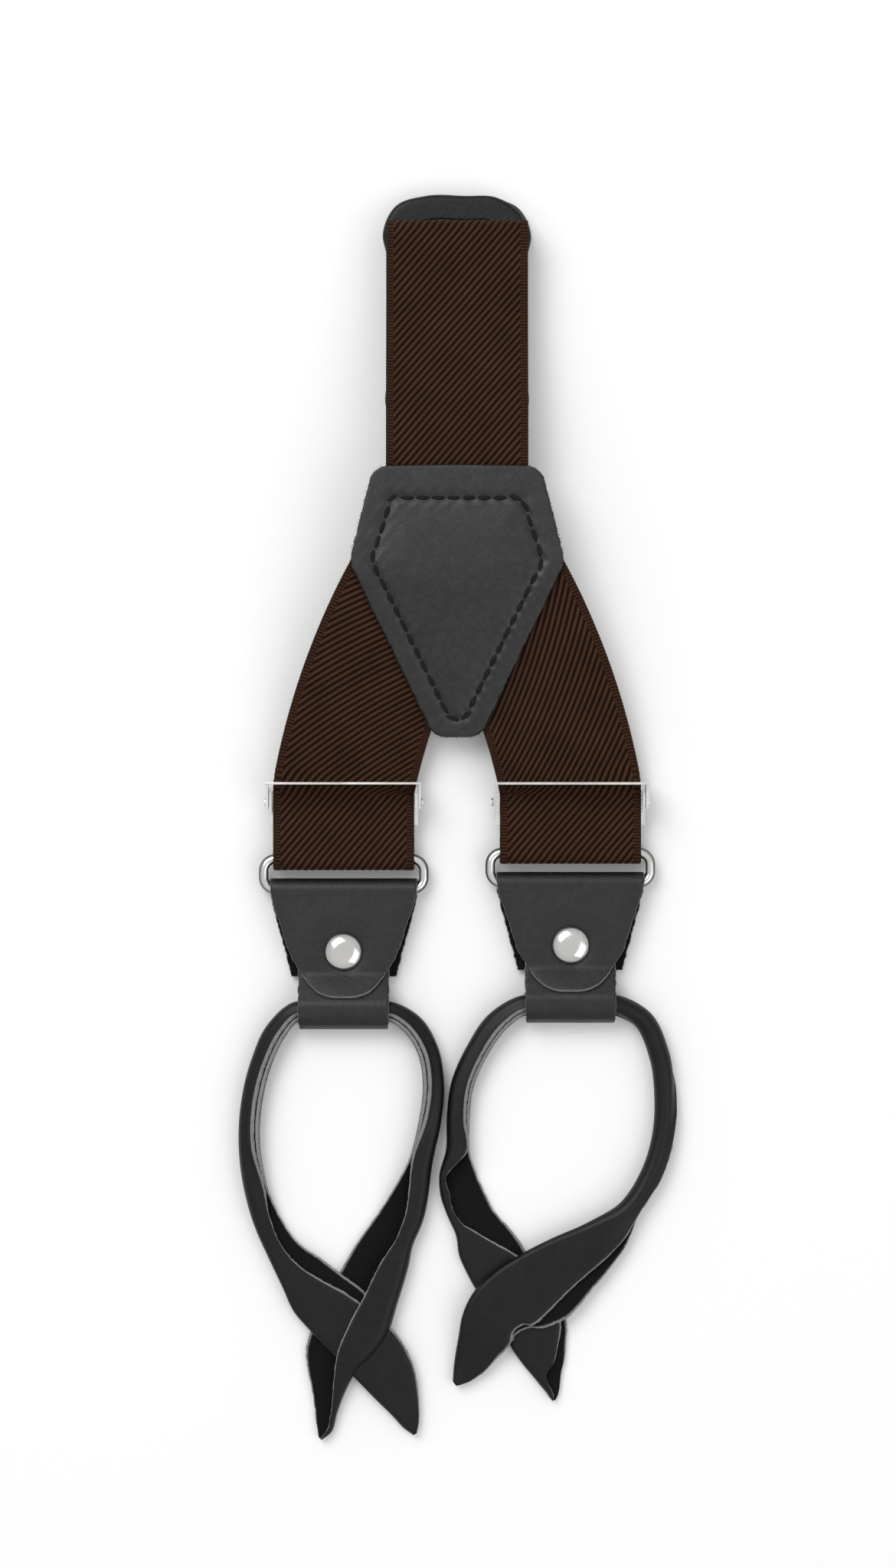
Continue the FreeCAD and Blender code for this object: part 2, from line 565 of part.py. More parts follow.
def rivet_cap(end):
    """A domed cap on a stem that goes through the flap, the strip and the tail."""
    seat = "(Sizes.stack_height + Sizes.wire_size / 2 + Sizes.wrap_gap + Sizes.leather_thick + Sizes.ply_gap)"
    ball = "((Sizes.cap_size * Sizes.cap_size / 4 + Sizes.cap_rise * Sizes.cap_rise) / (2 * Sizes.cap_rise))"
    at_y = "-Sizes.rivet_reach"
    sphere = primitive("Part::Sphere", f"{end}_cap_ball", {"Radius": ball},
                       ("0", at_y, f"{seat} + Sizes.cap_rise - {ball}"))
    edge = primitive("Part::Cylinder", f"{end}_cap_edge",
                     {"Radius": "Sizes.cap_size / 2", "Height": "Sizes.cap_rise * 2"}, ("0", at_y, seat))
    dome = doc.addObject("Part::MultiCommon", f"{end}_cap_dome")
    dome.Shapes = [sphere, edge]
    foot = "(Sizes.stack_height - Sizes.wire_size / 2 - Sizes.wrap_gap - Sizes.leather_thick)"
    stem = primitive("Part::Cylinder", f"{end}_rivet_stem",
                     {"Radius": "Sizes.stem_size / 2", "Height": f"{seat} - {foot} + Sizes.cap_rise / 4"},
                     ("0", at_y, foot))
    return fused(f"{end}_cap_and_stem", [dome, stem])


def rivet_back(end):
    """The flat disc that closes the rivet behind, whose face is what the leather end lies on."""
    foot = ("(Sizes.stack_height - Sizes.wire_size / 2 - Sizes.wrap_gap - Sizes.leather_thick"
            " - Sizes.ply_gap - Sizes.washer_thick)")
    disc = primitive("Part::Cylinder", f"{end}_disc",
                     {"Radius": "Sizes.washer_size / 2", "Height": "Sizes.washer_thick"},
                     ("0", "-Sizes.rivet_reach", foot))
    washer = doc.addObject("Part::Compound", f"{end}_washer")
    washer.Links = [disc]
    return washer


ends = {
    "left": (-size("end_offset"), size("left_end_at"), 0, 0.0, LEFT_UNDER, LEFT_OVER),
    "right": (size("end_offset"), size("right_end_at"), 0, 0.0, RIGHT_UNDER, RIGHT_OVER),
    "back": (0.0, size("back_end_at"), 180, math.degrees(back_bar_lean), BACK_UNDER, BACK_OVER),
}
for end, (x, y, turned, lean, under, over) in ends.items():
    place = FreeCAD.Placement(Vector(x, y, 0), Rotation(Vector(0, 0, 1), turned))
    wire = keep(f"{end}_ring", ring(end))
    leaning = FreeCAD.Placement(Vector(0, 0, stack), Rotation(Vector(1, 0, 0), lean))
    wire.Placement = place.multiply(leaning)
    feature(f"{end}_chape", chape_shape(), place)
    feature(f"{end}_loop_strip", strip_shape(), place)
    feature(f"{end}_button_loop", loop_shape(under, over), place)
    keep(f"{end}_rivet_cap", rivet_cap(end)).Placement = place
    keep(f"{end}_rivet_back", rivet_back(end)).Placement = place

# ---------------------------------------------------------------- adjusters
WALL = "(Sizes.strap_width / 2 + Sizes.frame_gap)"          # inside of a side wall, from the middle
WALL_OUT = f"({WALL} + Sizes.frame_thick)"
EAR = f"({WALL_OUT} + Sizes.ear_gap)"
EAR_OUT = f"({EAR} + Sizes.plate_thick)"
BED = "Sizes.bed_height"
PLATE_FROM = "(Sizes.pivot_at + Sizes.lever_offset)"
TOOTH_COUNT = 11


def box(name, low, high):
    """A block between two corners, each corner three rules."""
    sizes = {p: f"({b}) - ({a})" for p, a, b in zip(("Length", "Width", "Height"), low, high)}
    return primitive("Part::Box", name, sizes, low)


def pin_hole(name, middle, radius):
    """A cylinder along X through both sides of the adjuster, at its pivot."""
    return primitive("Part::Cylinder", name, {"Radius": radius, "Height": "Sizes.strap_width * 2"},
                     (f"{middle} - Sizes.strap_width", "Sizes.pivot_at", "Sizes.pivot_height"), ALONG_X)


def either_side(middle, way, near, far):
    """The two X rules of a piece between two distances from the middle, on one side of it."""
    if way < 0:
        return f"{middle} - {far}", f"{middle} - {near}"
    return f"{middle} + {near}", f"{middle} + {far}"


def pivot_rod(name, span, radius):
    """A rod or head on the pivot's axis, between two X rules."""
    return primitive("Part::Cylinder", name, {"Radius": radius, "Height": f"({span[1]}) - ({span[0]})"},
                     (span[0], "Sizes.pivot_at", "Sizes.pivot_height"), ALONG_X)


HOLE = "Sizes.pivot_size / 2 + Sizes.pivot_gap"
for end, way in (("left", "-1"), ("right", "1")):
    mid_x = f"{way} * Sizes.end_offset"
    plate = box(f"{end}_back_plate", (f"{mid_x} - {WALL_OUT}", "Sizes.bed_from", BED),
                (f"{mid_x} + {WALL_OUT}", "Sizes.bed_to", f"{BED} + Sizes.frame_thick"))
    window = box(f"{end}_window", (f"{mid_x} - {WALL} + Sizes.window_rim", "Sizes.window_from", "0"),
                 (f"{mid_x} + {WALL} - Sizes.window_rim", "Sizes.window_to", "Sizes.lever_top"))
    walls, ears, pins = [], [], []
    for side, to in (("inner", -1), ("outer", 1)):
        x0, x1 = either_side(mid_x, to, WALL, WALL_OUT)
        walls.append(box(f"{end}_{side}_wall", (x0, "Sizes.pivot_at - Sizes.wall_reach", BED),
                         (x1, "Sizes.pivot_at + Sizes.wall_reach", "Sizes.pivot_height + Sizes.wall_rise")))
        x0, x1 = either_side(mid_x, to, EAR, EAR_OUT)
        ears.append(box(f"{end}_{side}_ear",
                        (x0, "Sizes.pivot_at - Sizes.ear_reach", "Sizes.pivot_height - Sizes.ear_reach"),
                        (x1, f"{PLATE_FROM} + Sizes.plate_thick", "Sizes.lever_foot + Sizes.ear_rise")))
        rod = either_side(mid_x, to, f"({WALL} + Sizes.pin_inset)", f"({EAR_OUT} + Sizes.pin_proud)")
        pins.append(pivot_rod(f"{end}_{side}_pivot", rod, "Sizes.pivot_size / 2"))
        head = either_side(mid_x, to, f"({EAR_OUT} + Sizes.head_gap)",
                           f"({EAR_OUT} + Sizes.head_gap + Sizes.head_thick)")
        pins.append(pivot_rod(f"{end}_{side}_pivot_head", head, "Sizes.pivot_size / 2 + Sizes.head_lip"))
    body = fused(f"{end}_frame_body", [cut(f"{end}_windowed", plate, window)] + walls)
    keep(f"{end}_adjuster_frame", cut(f"{end}_frame", body, pin_hole(f"{end}_frame_bore", mid_x, HOLE)))
    upright = box(f"{end}_cover_plate", (f"{mid_x} - {EAR_OUT}", PLATE_FROM, "Sizes.lever_foot"),
                  (f"{mid_x} + {EAR_OUT}", f"{PLATE_FROM} + Sizes.plate_thick", "Sizes.lever_top"))
    teeth = []
    for k in range(TOOTH_COUNT):
        at = f"{mid_x} + {k - (TOOTH_COUNT - 1) // 2} * Sizes.tooth_pitch"
        low = (f"{at} - Sizes.tooth_width / 2", PLATE_FROM, "Sizes.lever_foot - Sizes.tooth_reach")
        high = (f"{at} + Sizes.tooth_width / 2", f"{PLATE_FROM} + Sizes.plate_thick", "Sizes.lever_foot")
        teeth.append(box(f"{end}_tooth_{k + 1}", low, high))
    lever = fused(f"{end}_lever_body", [upright] + ears + teeth)
    keep(f"{end}_adjuster_lever", cut(f"{end}_lever", lever, pin_hole(f"{end}_lever_bore", mid_x, HOLE)))
    keep(f"{end}_adjuster_pins", fused(f"{end}_pivots", pins))

# ---------------------------------------------------------------- check and write
doc.recompute()
for thing in doc.Objects:
    if "Invalid" in thing.State or "Error" in thing.State:
        raise RuntimeError(f"{thing.Name} did not build: {thing.State}")
whole = FreeCAD.BoundBox()
for node, thing in nodes.items():
    if thing.Shape.isNull() or not thing.Shape.isValid():
        raise RuntimeError(f"{node} has no valid shape")
    thing.Shape.exportStep(f"parts/{node}.step")
    whole.add(thing.Shape.BoundBox)
    print(f"{node}: {len(thing.Shape.Solids)} solid(s), {thing.Shape.Volume:.0f} mm3")
print(f"{len(nodes)} nodes, box {whole}")
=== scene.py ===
# %% [markdown]
# # Y-back button suspenders
#
# One pair of gentlemen's suspenders, laid flat on its back: a leather yoke, two front straps that each run
# through a nickel adjuster to a ring, and a back strap folded under at the top. Three leather ends carry
# rolled button loops. The engineering model is loaded first and never moved. Each step then makes one kind
# of piece in its place, with the detail that a maker of braces would look for: twill, grain, cut edges.

# %% Load the engineering model
import math

import bmesh
import bpy
import numpy as np
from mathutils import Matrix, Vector


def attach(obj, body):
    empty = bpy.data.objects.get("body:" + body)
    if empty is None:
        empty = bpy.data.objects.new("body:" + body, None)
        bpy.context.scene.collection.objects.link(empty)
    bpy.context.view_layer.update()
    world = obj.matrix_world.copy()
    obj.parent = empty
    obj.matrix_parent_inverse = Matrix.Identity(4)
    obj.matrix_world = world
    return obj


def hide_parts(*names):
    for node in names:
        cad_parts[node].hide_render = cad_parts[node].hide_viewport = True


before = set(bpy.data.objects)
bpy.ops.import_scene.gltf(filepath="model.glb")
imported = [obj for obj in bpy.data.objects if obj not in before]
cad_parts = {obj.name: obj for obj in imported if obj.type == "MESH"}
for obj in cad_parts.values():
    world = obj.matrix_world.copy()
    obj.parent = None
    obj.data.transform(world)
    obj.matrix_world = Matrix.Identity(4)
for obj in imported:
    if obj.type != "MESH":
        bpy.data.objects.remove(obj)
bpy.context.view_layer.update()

MM = 0.001

# %% [markdown]
# ## Camera, floor and light
#
# Suspenders are looked at from straight above, like a garment laid on a table. A long lens keeps the straps
# parallel. The light is a large soft window above the top left, with a pale room round it, because black
# leather and polished nickel show only what they reflect.

# %% Camera
def placed(name, data):
    """A new object in the scene."""
    made = bpy.data.objects.new(name, data)
    bpy.context.scene.collection.objects.link(made)
    return made


LENS, SENSOR = 85.0, 36.0
VIEW_HEIGHT = 389.5                     # of the table that the picture takes in, in millimetres
VIEW_MIDDLE = (-2.25, 8.75)
STRAP_LEVEL = 6.0
camera_data = bpy.data.cameras.new("camera")
camera_data.lens, camera_data.sensor_width = LENS, SENSOR
camera = placed("camera", camera_data)
camera_height = VIEW_HEIGHT * LENS / SENSOR + STRAP_LEVEL
camera.location = (VIEW_MIDDLE[0] * MM, VIEW_MIDDLE[1] * MM, camera_height * MM)
bpy.context.scene.camera = camera
bpy.context.scene.view_settings.view_transform = "Standard"
print(f"camera {camera_height:.0f} mm above the table")


# %% A small helper that wires a material
class Finish:
    """A material under construction: add nodes by type, set their sockets by name, link them."""

    def __init__(self, name):
        self.material = bpy.data.materials.new(name)
        self.material.use_nodes = True
        self.tree = self.material.node_tree
        self.tree.nodes.clear()
        self.output = self.tree.nodes.new("ShaderNodeOutputMaterial")
        self.shader = self.node("ShaderNodeBsdfPrincipled")
        self.link(self.shader.outputs[0], self.output.inputs["Surface"])

    def node(self, kind, values=None, **settings):
        made = self.tree.nodes.new(kind)
        for key, value in settings.items():
            setattr(made, key, value)
        for key, value in (values or {}).items():
            self.feed(made.inputs[key], value)
        return made

    def feed(self, socket, value):
        if isinstance(value, bpy.types.NodeSocket):
            self.link(value, socket)
        else:
            socket.default_value = value

    def link(self, a, b):
        self.tree.links.new(a, b)

    def surface(self, **values):
        """Set the shader's sockets, with their names written in lower case."""
        sockets = {socket.name.lower().replace(" ", "_"): socket for socket in self.shader.inputs}
        for label, value in values.items():
            self.feed(sockets[label], value)

    def noise(self, vector, scale, detail, roughness=0.5, distortion=0.0):
        return self.node("ShaderNodeTexNoise", {"Vector": vector, "Scale": scale, "Detail": detail,
                                                "Roughness": roughness, "Distortion": distortion}).outputs["Fac"]

    def in_space(self):
        return self.node("ShaderNodeTexCoord").outputs["Object"]

    def math(self, operation, a, b=0.0, clamp=False):
        return self.node("ShaderNodeMath", {0: a, 1: b}, operation=operation, use_clamp=clamp).outputs[0]

    def mix(self, share, a, b):
        """A colour between two colours."""
        made = self.node("ShaderNodeMix", data_type="RGBA")
        self.feed(made.inputs["Factor"], share)
        self.feed(made.inputs["A"], a)
        self.feed(made.inputs["B"], b)
        return made.outputs["Result"]

    def span(self, value, low, high, to_low=0.0, to_high=1.0):
        """A value carried from one range to another, and held inside it."""
        return self.node("ShaderNodeMapRange", {"Value": value, "From Min": low, "From Max": high,
                                                "To Min": to_low, "To Max": to_high}).outputs[0]

    def mark(self, name, output="Fac"):
        """A value or vector that a piece's own vertices carry."""
        return self.node("ShaderNodeAttribute", attribute_name=name).outputs[output]

    def bump(self, height, distance, strength=1.0, onto=None):
        made = self.node("ShaderNodeBump", {"Height": height, "Distance": distance, "Strength": strength})
        if onto is not None:
            self.link(onto, made.inputs["Normal"])
        return made.outputs["Normal"]


def srgb(red, green, blue):
    """A display colour, 0 to 255, as the linear colour that Blender wants."""
    return tuple((v / 255 / 12.92) if v <= 10 else ((v / 255 + 0.055) / 1.055) ** 2.4
                 for v in (red, green, blue)) + (1.0,)


# %% Floor and light
floor_mesh = bpy.data.meshes.new("table_top")
FLOOR_REACH, FLOOR_DROP = 3.0, -0.0002
floor_mesh.from_pydata([(x * FLOOR_REACH, y * FLOOR_REACH, FLOOR_DROP)
                        for x, y in ((-1, -1), (1, -1), (1, 1), (-1, 1))], [], [(0, 1, 2, 3)])
floor = placed("table_top", floor_mesh)
paper = Finish("pale_table")
speckle = paper.noise(paper.in_space(), 9.0, 2.0)
paper.surface(base_color=paper.mix(speckle, (0.97, 0.97, 0.97, 1), (0.99, 0.99, 0.99, 1)), roughness=0.9,
              specular_ior_level=0.1)
floor_mesh.materials.append(paper.material)

room = bpy.data.worlds.new("room")
room.use_nodes = True
bpy.context.scene.world = room
walls = room.node_tree
ceiling = walls.nodes.new("ShaderNodeSeparateXYZ")
facing = walls.nodes.new("ShaderNodeTexCoord")
shade = walls.nodes.new("ShaderNodeMapRange")
walls.links.new(facing.outputs["Generated"], ceiling.inputs[0])
walls.links.new(ceiling.outputs["Z"], shade.inputs["Value"])
shade.inputs["From Min"].default_value, shade.inputs["From Max"].default_value = 0.0, 0.9
shade.inputs["To Min"].default_value, shade.inputs["To Max"].default_value = 0.45, 0.72
walls.links.new(shade.outputs[0], walls.nodes["Background"].inputs["Color"])


def lamp(name, place, width, power):
    """A square soft light above the table, aimed at its middle."""
    data = bpy.data.lights.new(name, "AREA")
    data.size, data.energy = width, power
    light = placed(name, data)
    light.location = place
    light.rotation_euler = (-Vector(place)).to_track_quat("-Z", "Y").to_euler()


lamp("window", (-0.55, 0.75, 1.25), 0.9, 10.2)
lamp("fill", (0.9, -0.5, 1.1), 1.1, 3.4)
print("floor, room and two soft lights")

# %% [markdown]
# ## Leather
#
# Bridle leather has three faces. The grain side is black and satin with fine pores and creases, the flesh
# side is matt and fibrous, and a cut edge is grey where the dye has not gone through. The meshes below carry
# marks that say which face a point is on, so one material paints all three, and the grain follows the
# leather round its bends because it reads the flat pattern's coordinates, in millimetres.

# %% Leather material
def leather_finish(name, grain, edge, edge_strength=1.0, crease=0.055, shine=0.46):
    """Grain, flesh and cut edge in one material. The marks on a piece's vertices say which is where."""
    made = Finish(name)
    flat = made.mark("flat", "Vector")
    cut_mark, flesh_mark = made.mark("cut"), made.mark("flesh")
    pores = made.node("ShaderNodeTexVoronoi", {"Vector": flat, "Scale": 1.7, "Randomness": 1.0},
                      feature="SMOOTH_F1").outputs["Distance"]
    folds = made.noise(flat, 0.55, 6.0, 0.62, 0.8)
    fibres = made.noise(flat, 3.2, 5.0, 0.75)
    cloudy = made.noise(flat, 0.16, 3.0)
    # painted shade and painted highlight: the crease noise that drives the bump also darkens the grain in the hollows
    # of the creases and lightens it on their crowns
    painted_shade_tone = made.span(folds, 0.42, 0.62, 0.75, 1.3)
    tone = made.math("MULTIPLY", painted_shade_tone, made.span(cloudy, 0.3, 0.7, 0.85, 1.2))
    black = made.node("ShaderNodeVectorMath", {0: grain[:3], "Scale": tone}, operation="SCALE").outputs[0]
    flesh = made.mix(made.span(fibres, 0.35, 0.65), (0.0035, 0.0033, 0.0033, 1), (0.012, 0.0115, 0.011, 1))
    raw = made.mix(made.span(fibres, 0.38, 0.6), tuple(v * 0.28 for v in edge[:3]) + (1,), edge)
    frayed = made.math("MULTIPLY", made.span(cut_mark, 0.25, 0.75), edge_strength)
    colour = made.mix(made.span(flesh_mark, 0.3, 0.7), black, flesh)
    matt = made.math("MAXIMUM", cut_mark, flesh_mark, clamp=True)
    fine = made.bump(pores, 0.05 * MM, 0.45)
    made.surface(base_color=made.mix(frayed, colour, raw), roughness=made.span(matt, 0.2, 0.8, 0.42, 0.95),
                 specular_ior_level=made.span(matt, 0.2, 0.8, shine, 0.12),
                 normal=made.bump(folds, crease * 2.2 * MM, 0.6, onto=fine))
    return made.material


GRAIN_BLACK = (0.0092, 0.0092, 0.0095)
chape_leather = leather_finish("black_satin_leather", GRAIN_BLACK, srgb(176, 174, 171), 0.9)
yoke_leather = leather_finish("black_yoke_leather", (0.0145, 0.0145, 0.0150), srgb(62, 62, 62), 0.8, crease=0.03)
rolled_leather = leather_finish("black_rolled_leather", (0.0040, 0.0040, 0.0042), srgb(165, 163, 160), shine=0.3)
print("three leather finishes")

# %% [markdown]
# ## Elastic webbing
#
# The straps are woven, not printed. A 2/2 twill lets each warp yarn float over two picks and steps one pick
# sideways on the next yarn, which is what makes the diagonal ridges. The ridges and yarns are real relief in
# the mesh below, because a mesh row falls on every half pick and a column on every half yarn. The material
# only adds painted shade, darkening the colour in the hollows between the yarns, and the fuzz of the thread.

# %% Webbing material
def webbing_finish():
    """Brown yarns with painted shade in the hollows of the weave, faded in patches."""
    made = Finish("brown_twill_elastic")
    flat, rib = made.mark("flat", "Vector"), made.mark("rib")
    thread, faded = made.noise(flat, 5.5, 4.0, 0.7), made.noise(flat, 0.12, 2.0)
    height = made.math("ADD", rib, made.span(thread, 0.3, 0.7, -0.16, 0.16), clamp=True)
    # painted shade: the yarn colour darkens down into the hollows of the weave and lightens on the yarn crowns, and is
    # then faded in patches
    brown = made.mix(height, srgb(20, 6, 2), srgb(78, 53, 38))
    painted_shade_tone = made.node("ShaderNodeVectorMath", {0: brown, "Scale": made.span(faded, 0.3, 0.7, 0.86, 1.12)},
                     operation="SCALE").outputs[0]
    made.surface(base_color=painted_shade_tone, roughness=0.85, specular_ior_level=0.08, sheen_weight=0.03,
                 normal=made.bump(thread, 0.10 * MM, 0.7))
    return made.material


def thread_finish():
    made = Finish("black_waxed_thread")
    twist = made.node("ShaderNodeTexWave", {"Vector": made.in_space(), "Scale": 900.0,
                                            "Distortion": 3.0}).outputs["Fac"]
    made.surface(base_color=made.mix(twist, (0.002, 0.002, 0.002, 1), (0.010, 0.010, 0.010, 1)), roughness=0.7,
                 specular_ior_level=0.25, normal=made.bump(twist, 0.04 * MM))
    return made.material


webbing, thread_black = webbing_finish(), thread_finish()

# %% [markdown]
# ## Nickel plate
#
# The rings, rivets and adjusters are nickel over steel or brass: warm grey, nearly a mirror, with faint
# tumbling marks. A colour, a low roughness and something soft to reflect do most of it. The rings alone are
# painted too: a mark on their vertices darkens the flanks, where a real room would be dark and this one is pale.

# %% Nickel material
def nickel_finish(name, roughness, tint, flanks=None):
    """Nickel plate. On the rings, flanks is the dark colour of the room that their sides reflect."""
    made = Finish(name)
    place = made.in_space()
    marks, smears = made.noise(place, 900.0, 3.0), made.noise(place, 160.0, 2.0)
    colour = made.mix(smears, tuple(v * 0.86 for v in tint[:3]) + (1,), tint)
    if flanks:
        colour = made.mix(made.span(made.mark("crown"), 0.55, 0.95), flanks, colour)
    made.surface(metallic=1.0, base_color=colour, normal=made.bump(marks, 0.002 * MM, 0.25),
                 roughness=made.span(smears, 0.35, 0.65, roughness * 0.7, roughness * 1.5))
    return made.material


nickel_wire = nickel_finish("polished_nickel_wire", 0.14, (0.80, 0.79, 0.77, 1), flanks=(0.03, 0.03, 0.03, 1))
nickel_rivet = nickel_finish("polished_nickel_rivet", 0.11, (0.78, 0.77, 0.75, 1))
nickel_plate = nickel_finish("polished_nickel_plate", 0.24, (0.92, 0.91, 0.90, 1))
print("webbing, thread and nickel finishes")

# %% [markdown]
# ## Bent sheets
#
# Every strap and leather in this object is a flat sheet led over bends. So one helper turns corners and radii
# into a line that knows its distance, place and heading, and another closes rows of points into a solid mesh.
# A sheet made this way bends without stretching, like the real one.

# %% Lines with rounded corners
class Run:
    """A line of (y, z) points with rounded corners. at(s) gives y, z and heading a distance along it."""

    def __init__(self, corners, radii, arc_step=0.12):
        points = [np.array(c, float) for c in corners]
        first = points[1] - points[0]
        heading = math.atan2(first[1], first[0])
        places, headings = [points[0]], [heading]
        for before, corner, after, radius in zip(points, points[1:], points[2:], radii):
            into = (corner - before) / np.linalg.norm(corner - before)
            out = (after - corner) / np.linalg.norm(after - corner)
            turn = math.atan2(into[0] * out[1] - into[1] * out[0], float(into @ out))
            side = math.copysign(1, turn)
            start = corner - into * radius * math.tan(abs(turn) / 2)
            centre = start + side * radius * np.array([-into[1], into[0]])
            steps = max(2, math.ceil(abs(turn) / arc_step))
            for k in range(steps + 1):
                now = heading + turn * k / steps
                places.append(centre - side * radius * np.array([-math.sin(now), math.cos(now)]))
                headings.append(now)
            heading += turn
        places.append(points[-1])
        headings.append(heading)
        self.place = np.array(places)
        self.heading = np.array(headings)
        self.along = np.r_[0, np.cumsum(np.linalg.norm(np.diff(self.place, axis=0), axis=1))]
        self.length = self.along[-1]

    def at(self, s):
        return (np.interp(s, self.along, self.place[:, 0]), np.interp(s, self.along, self.place[:, 1]),
                np.interp(s, self.along, self.heading))


def object_from(name, mesh, material, smooth=True):
    mesh.materials.append(material)
    mesh.polygons.foreach_set("use_smooth", [smooth] * len(mesh.polygons))
    return placed(name, mesh)


def mark_points(mesh, name, values, vector=False):
    """Write a number or a vector on each vertex, for a material or a node tree to read."""
    kind, field = ("FLOAT_VECTOR", "vector") if vector else ("FLOAT", "value")
    mesh.attributes.new(name, kind, "POINT").data.foreach_set(field, np.asarray(values, np.float32).ravel())


def close_rows(name, rows, material, flat, **marks):
    """A closed mesh from rows of ring-shaped sections (rows x points x 3, in millimetres), capped at both ends."""
    count, around, _ = rows.shape
    i, j = np.meshgrid(np.arange(count - 1), np.arange(around), indexing="ij")
    a, b = i * around + j, i * around + (j + 1) % around
    faces = np.stack([a, b, b + around, a + around], -1).reshape(-1, 4)
    points = rows.reshape(-1, 3)
    tri = np.concatenate([faces[:, [0, 1, 2]], faces[:, [0, 2, 3]]])
    inside_out = np.einsum("ij,ij->", points[tri[:, 0]] - points.mean(0),
                           np.cross(points[tri[:, 1]] - points[tri[:, 0]], points[tri[:, 2]] - points[tri[:, 0]])) < 0
    caps = [list(range(around))[::-1], list(range((count - 1) * around, count * around))]
    faces = [tuple(f) for f in (faces[:, ::-1] if inside_out else faces).tolist()]
    faces += [tuple(c[::-1] if inside_out else c) for c in caps]
    mesh = bpy.data.meshes.new(name)
    mesh.from_pydata((points * MM).tolist(), [], faces)
    mark_points(mesh, "flat", flat, vector=True)
    for mark, values in marks.items():
        mark_points(mesh, mark, values)
    return object_from(name, mesh, material)


def unit(vectors):
    return vectors / np.maximum(np.linalg.norm(vectors, axis=-1, keepdims=True), 1e-9)


def settle(piece, body, slot, *nodes):
    """Fasten a finished piece to its body, and let it stand for its engineering nodes."""
    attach(piece, body)
    if nodes:
        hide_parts(*nodes)
    return piece


def eased_edge(distance, radius):
    """How far a face drops as it nears a rounded edge."""
    short = np.clip(radius - distance, 0, radius)
    return radius - np.sqrt(radius ** 2 - short ** 2)


# %% Sizes that the pieces share
STRAP_WIDTH, STRAP_THICK = 35.0, 1.4
LEATHER_THICK, STRIP_THICK = 1.4, 1.25
STACK = 3.5                             # middle of each leather end above the table
BAR_SPACING, WRAP = 7.6, 1.4            # between a ring's bars, and round a bar to what lies on it
STRAP_TURN = WRAP + STRAP_THICK / 2
END_X = 28.2
END_Y = {"left": -17.5, "right": -15.9, "back": 68.0}
YOKE_LEVEL, FRONT_LEVEL = 14.8, STACK + STRAP_TURN
RAMP_FOOT, RAMP_HEAD, RAMP_BEND = 13.0, 60.0, 30    # where the front straps climb, and the radius of both bends


def set_down(points, end):
    """Carry points from a leather end's own frame to its place on the object."""
    x = {"left": -END_X, "right": END_X, "back": 0.0}[end]
    turned = np.array([-1.0, -1.0, 1.0]) if end == "back" else np.ones(3)
    return points * turned + np.array([x, END_Y[end], 0.0])


# %% [markdown]
# ## The three straps
#
# A strap is a run of twill rows. Its yarns and picks fall on the mesh's own rows and columns, so the weave is
# as sharp as the mesh, and where the strap is hidden under the yoke or itself the rows are spaced out. The
# front straps spread apart in plan as they climb the ramp to the yoke, and end on a mitre inside it.

# %% The weave as relief
YARNS = 79
PICK = 0.5176                           # one weft pick along the strap
REPEAT = 4                              # picks in the weave's repeat
SELVEDGE = 9                            # half yarns in the bound edge
RELIEF = 0.20                           # height of the ridges
EDGE_ROUND, END_ROUND = 0.55, 0.6       # radii of the sides and of the cut ends
COLUMNS = 2 * YARNS + 1
UNDER_COLUMNS = 31                      # of the plain face below


def twill(row, column):
    """Height of the weave, 0 to 1, at a half pick and a half yarn, and the ribbed selvedge at the sides."""
    yarn = column / 2
    phase = (row / 2 - yarn) / REPEAT
    ridge = np.clip(0.5 + 0.72 * np.cos(2 * np.pi * phase), 0, 1)
    crown = np.where(column % 2 == 1, 1.0, 0.55)
    body = ridge * crown
    from_edge = np.minimum(column, COLUMNS - 1 - column)
    rib = 0.30 + 0.42 * np.cos(2 * np.pi * row / 3) + 0.12 * (column % 2)
    return np.where(from_edge < SELVEDGE, rib, body)


def webbing_rows(distances, lay, fine):
    """Section rings of a strap. lay(s, x, lift) places points, and fine(s) says where the weave is modelled."""
    half = STRAP_WIDTH / 2
    x_top, x_under = np.linspace(-half, half, COLUMNS), np.linspace(half, -half, UNDER_COLUMNS)
    columns = np.arange(COLUMNS)
    rows, flats, ribs = [], [], []
    for s in distances:
        near_end = min(s - distances[0], distances[-1] - s)
        slim = 1 - 0.9 * eased_edge(near_end, END_ROUND) / END_ROUND
        row = np.round(s / (PICK / 2))
        weave = twill(row, columns) if fine(s) else np.full(COLUMNS, 0.4)
        edge_top, edge_under = (eased_edge(half - np.abs(x), EDGE_ROUND) * 0.8 for x in (x_top, x_under))
        scallop = 0.10 * np.cos(2 * np.pi * row / 3) if fine(s) else 0.0
        lift = (STRAP_THICK / 2 - edge_top) * slim + RELIEF * (weave - 0.5)
        side = np.sign(x_top) * scallop * (np.abs(x_top) > half - 0.3)
        top = lay(s, x_top + side, lift)
        under = lay(s, x_under, -(STRAP_THICK / 2 - edge_under) * slim)
        rows.append(np.concatenate([top, under]))
        across = np.r_[x_top, x_under]
        flats.append(np.stack([across, np.full_like(across, s), np.r_[np.zeros(COLUMNS), np.ones(UNDER_COLUMNS)]], -1))
        # the weave's height also goes to the material as the rib mark, where it sets the painted shade in the hollows
        ribs.append(np.r_[weave, 0.42 + 0.2 * np.cos(np.arange(UNDER_COLUMNS) * 2.1)])
    return np.array(rows), np.array(flats), np.array(ribs)


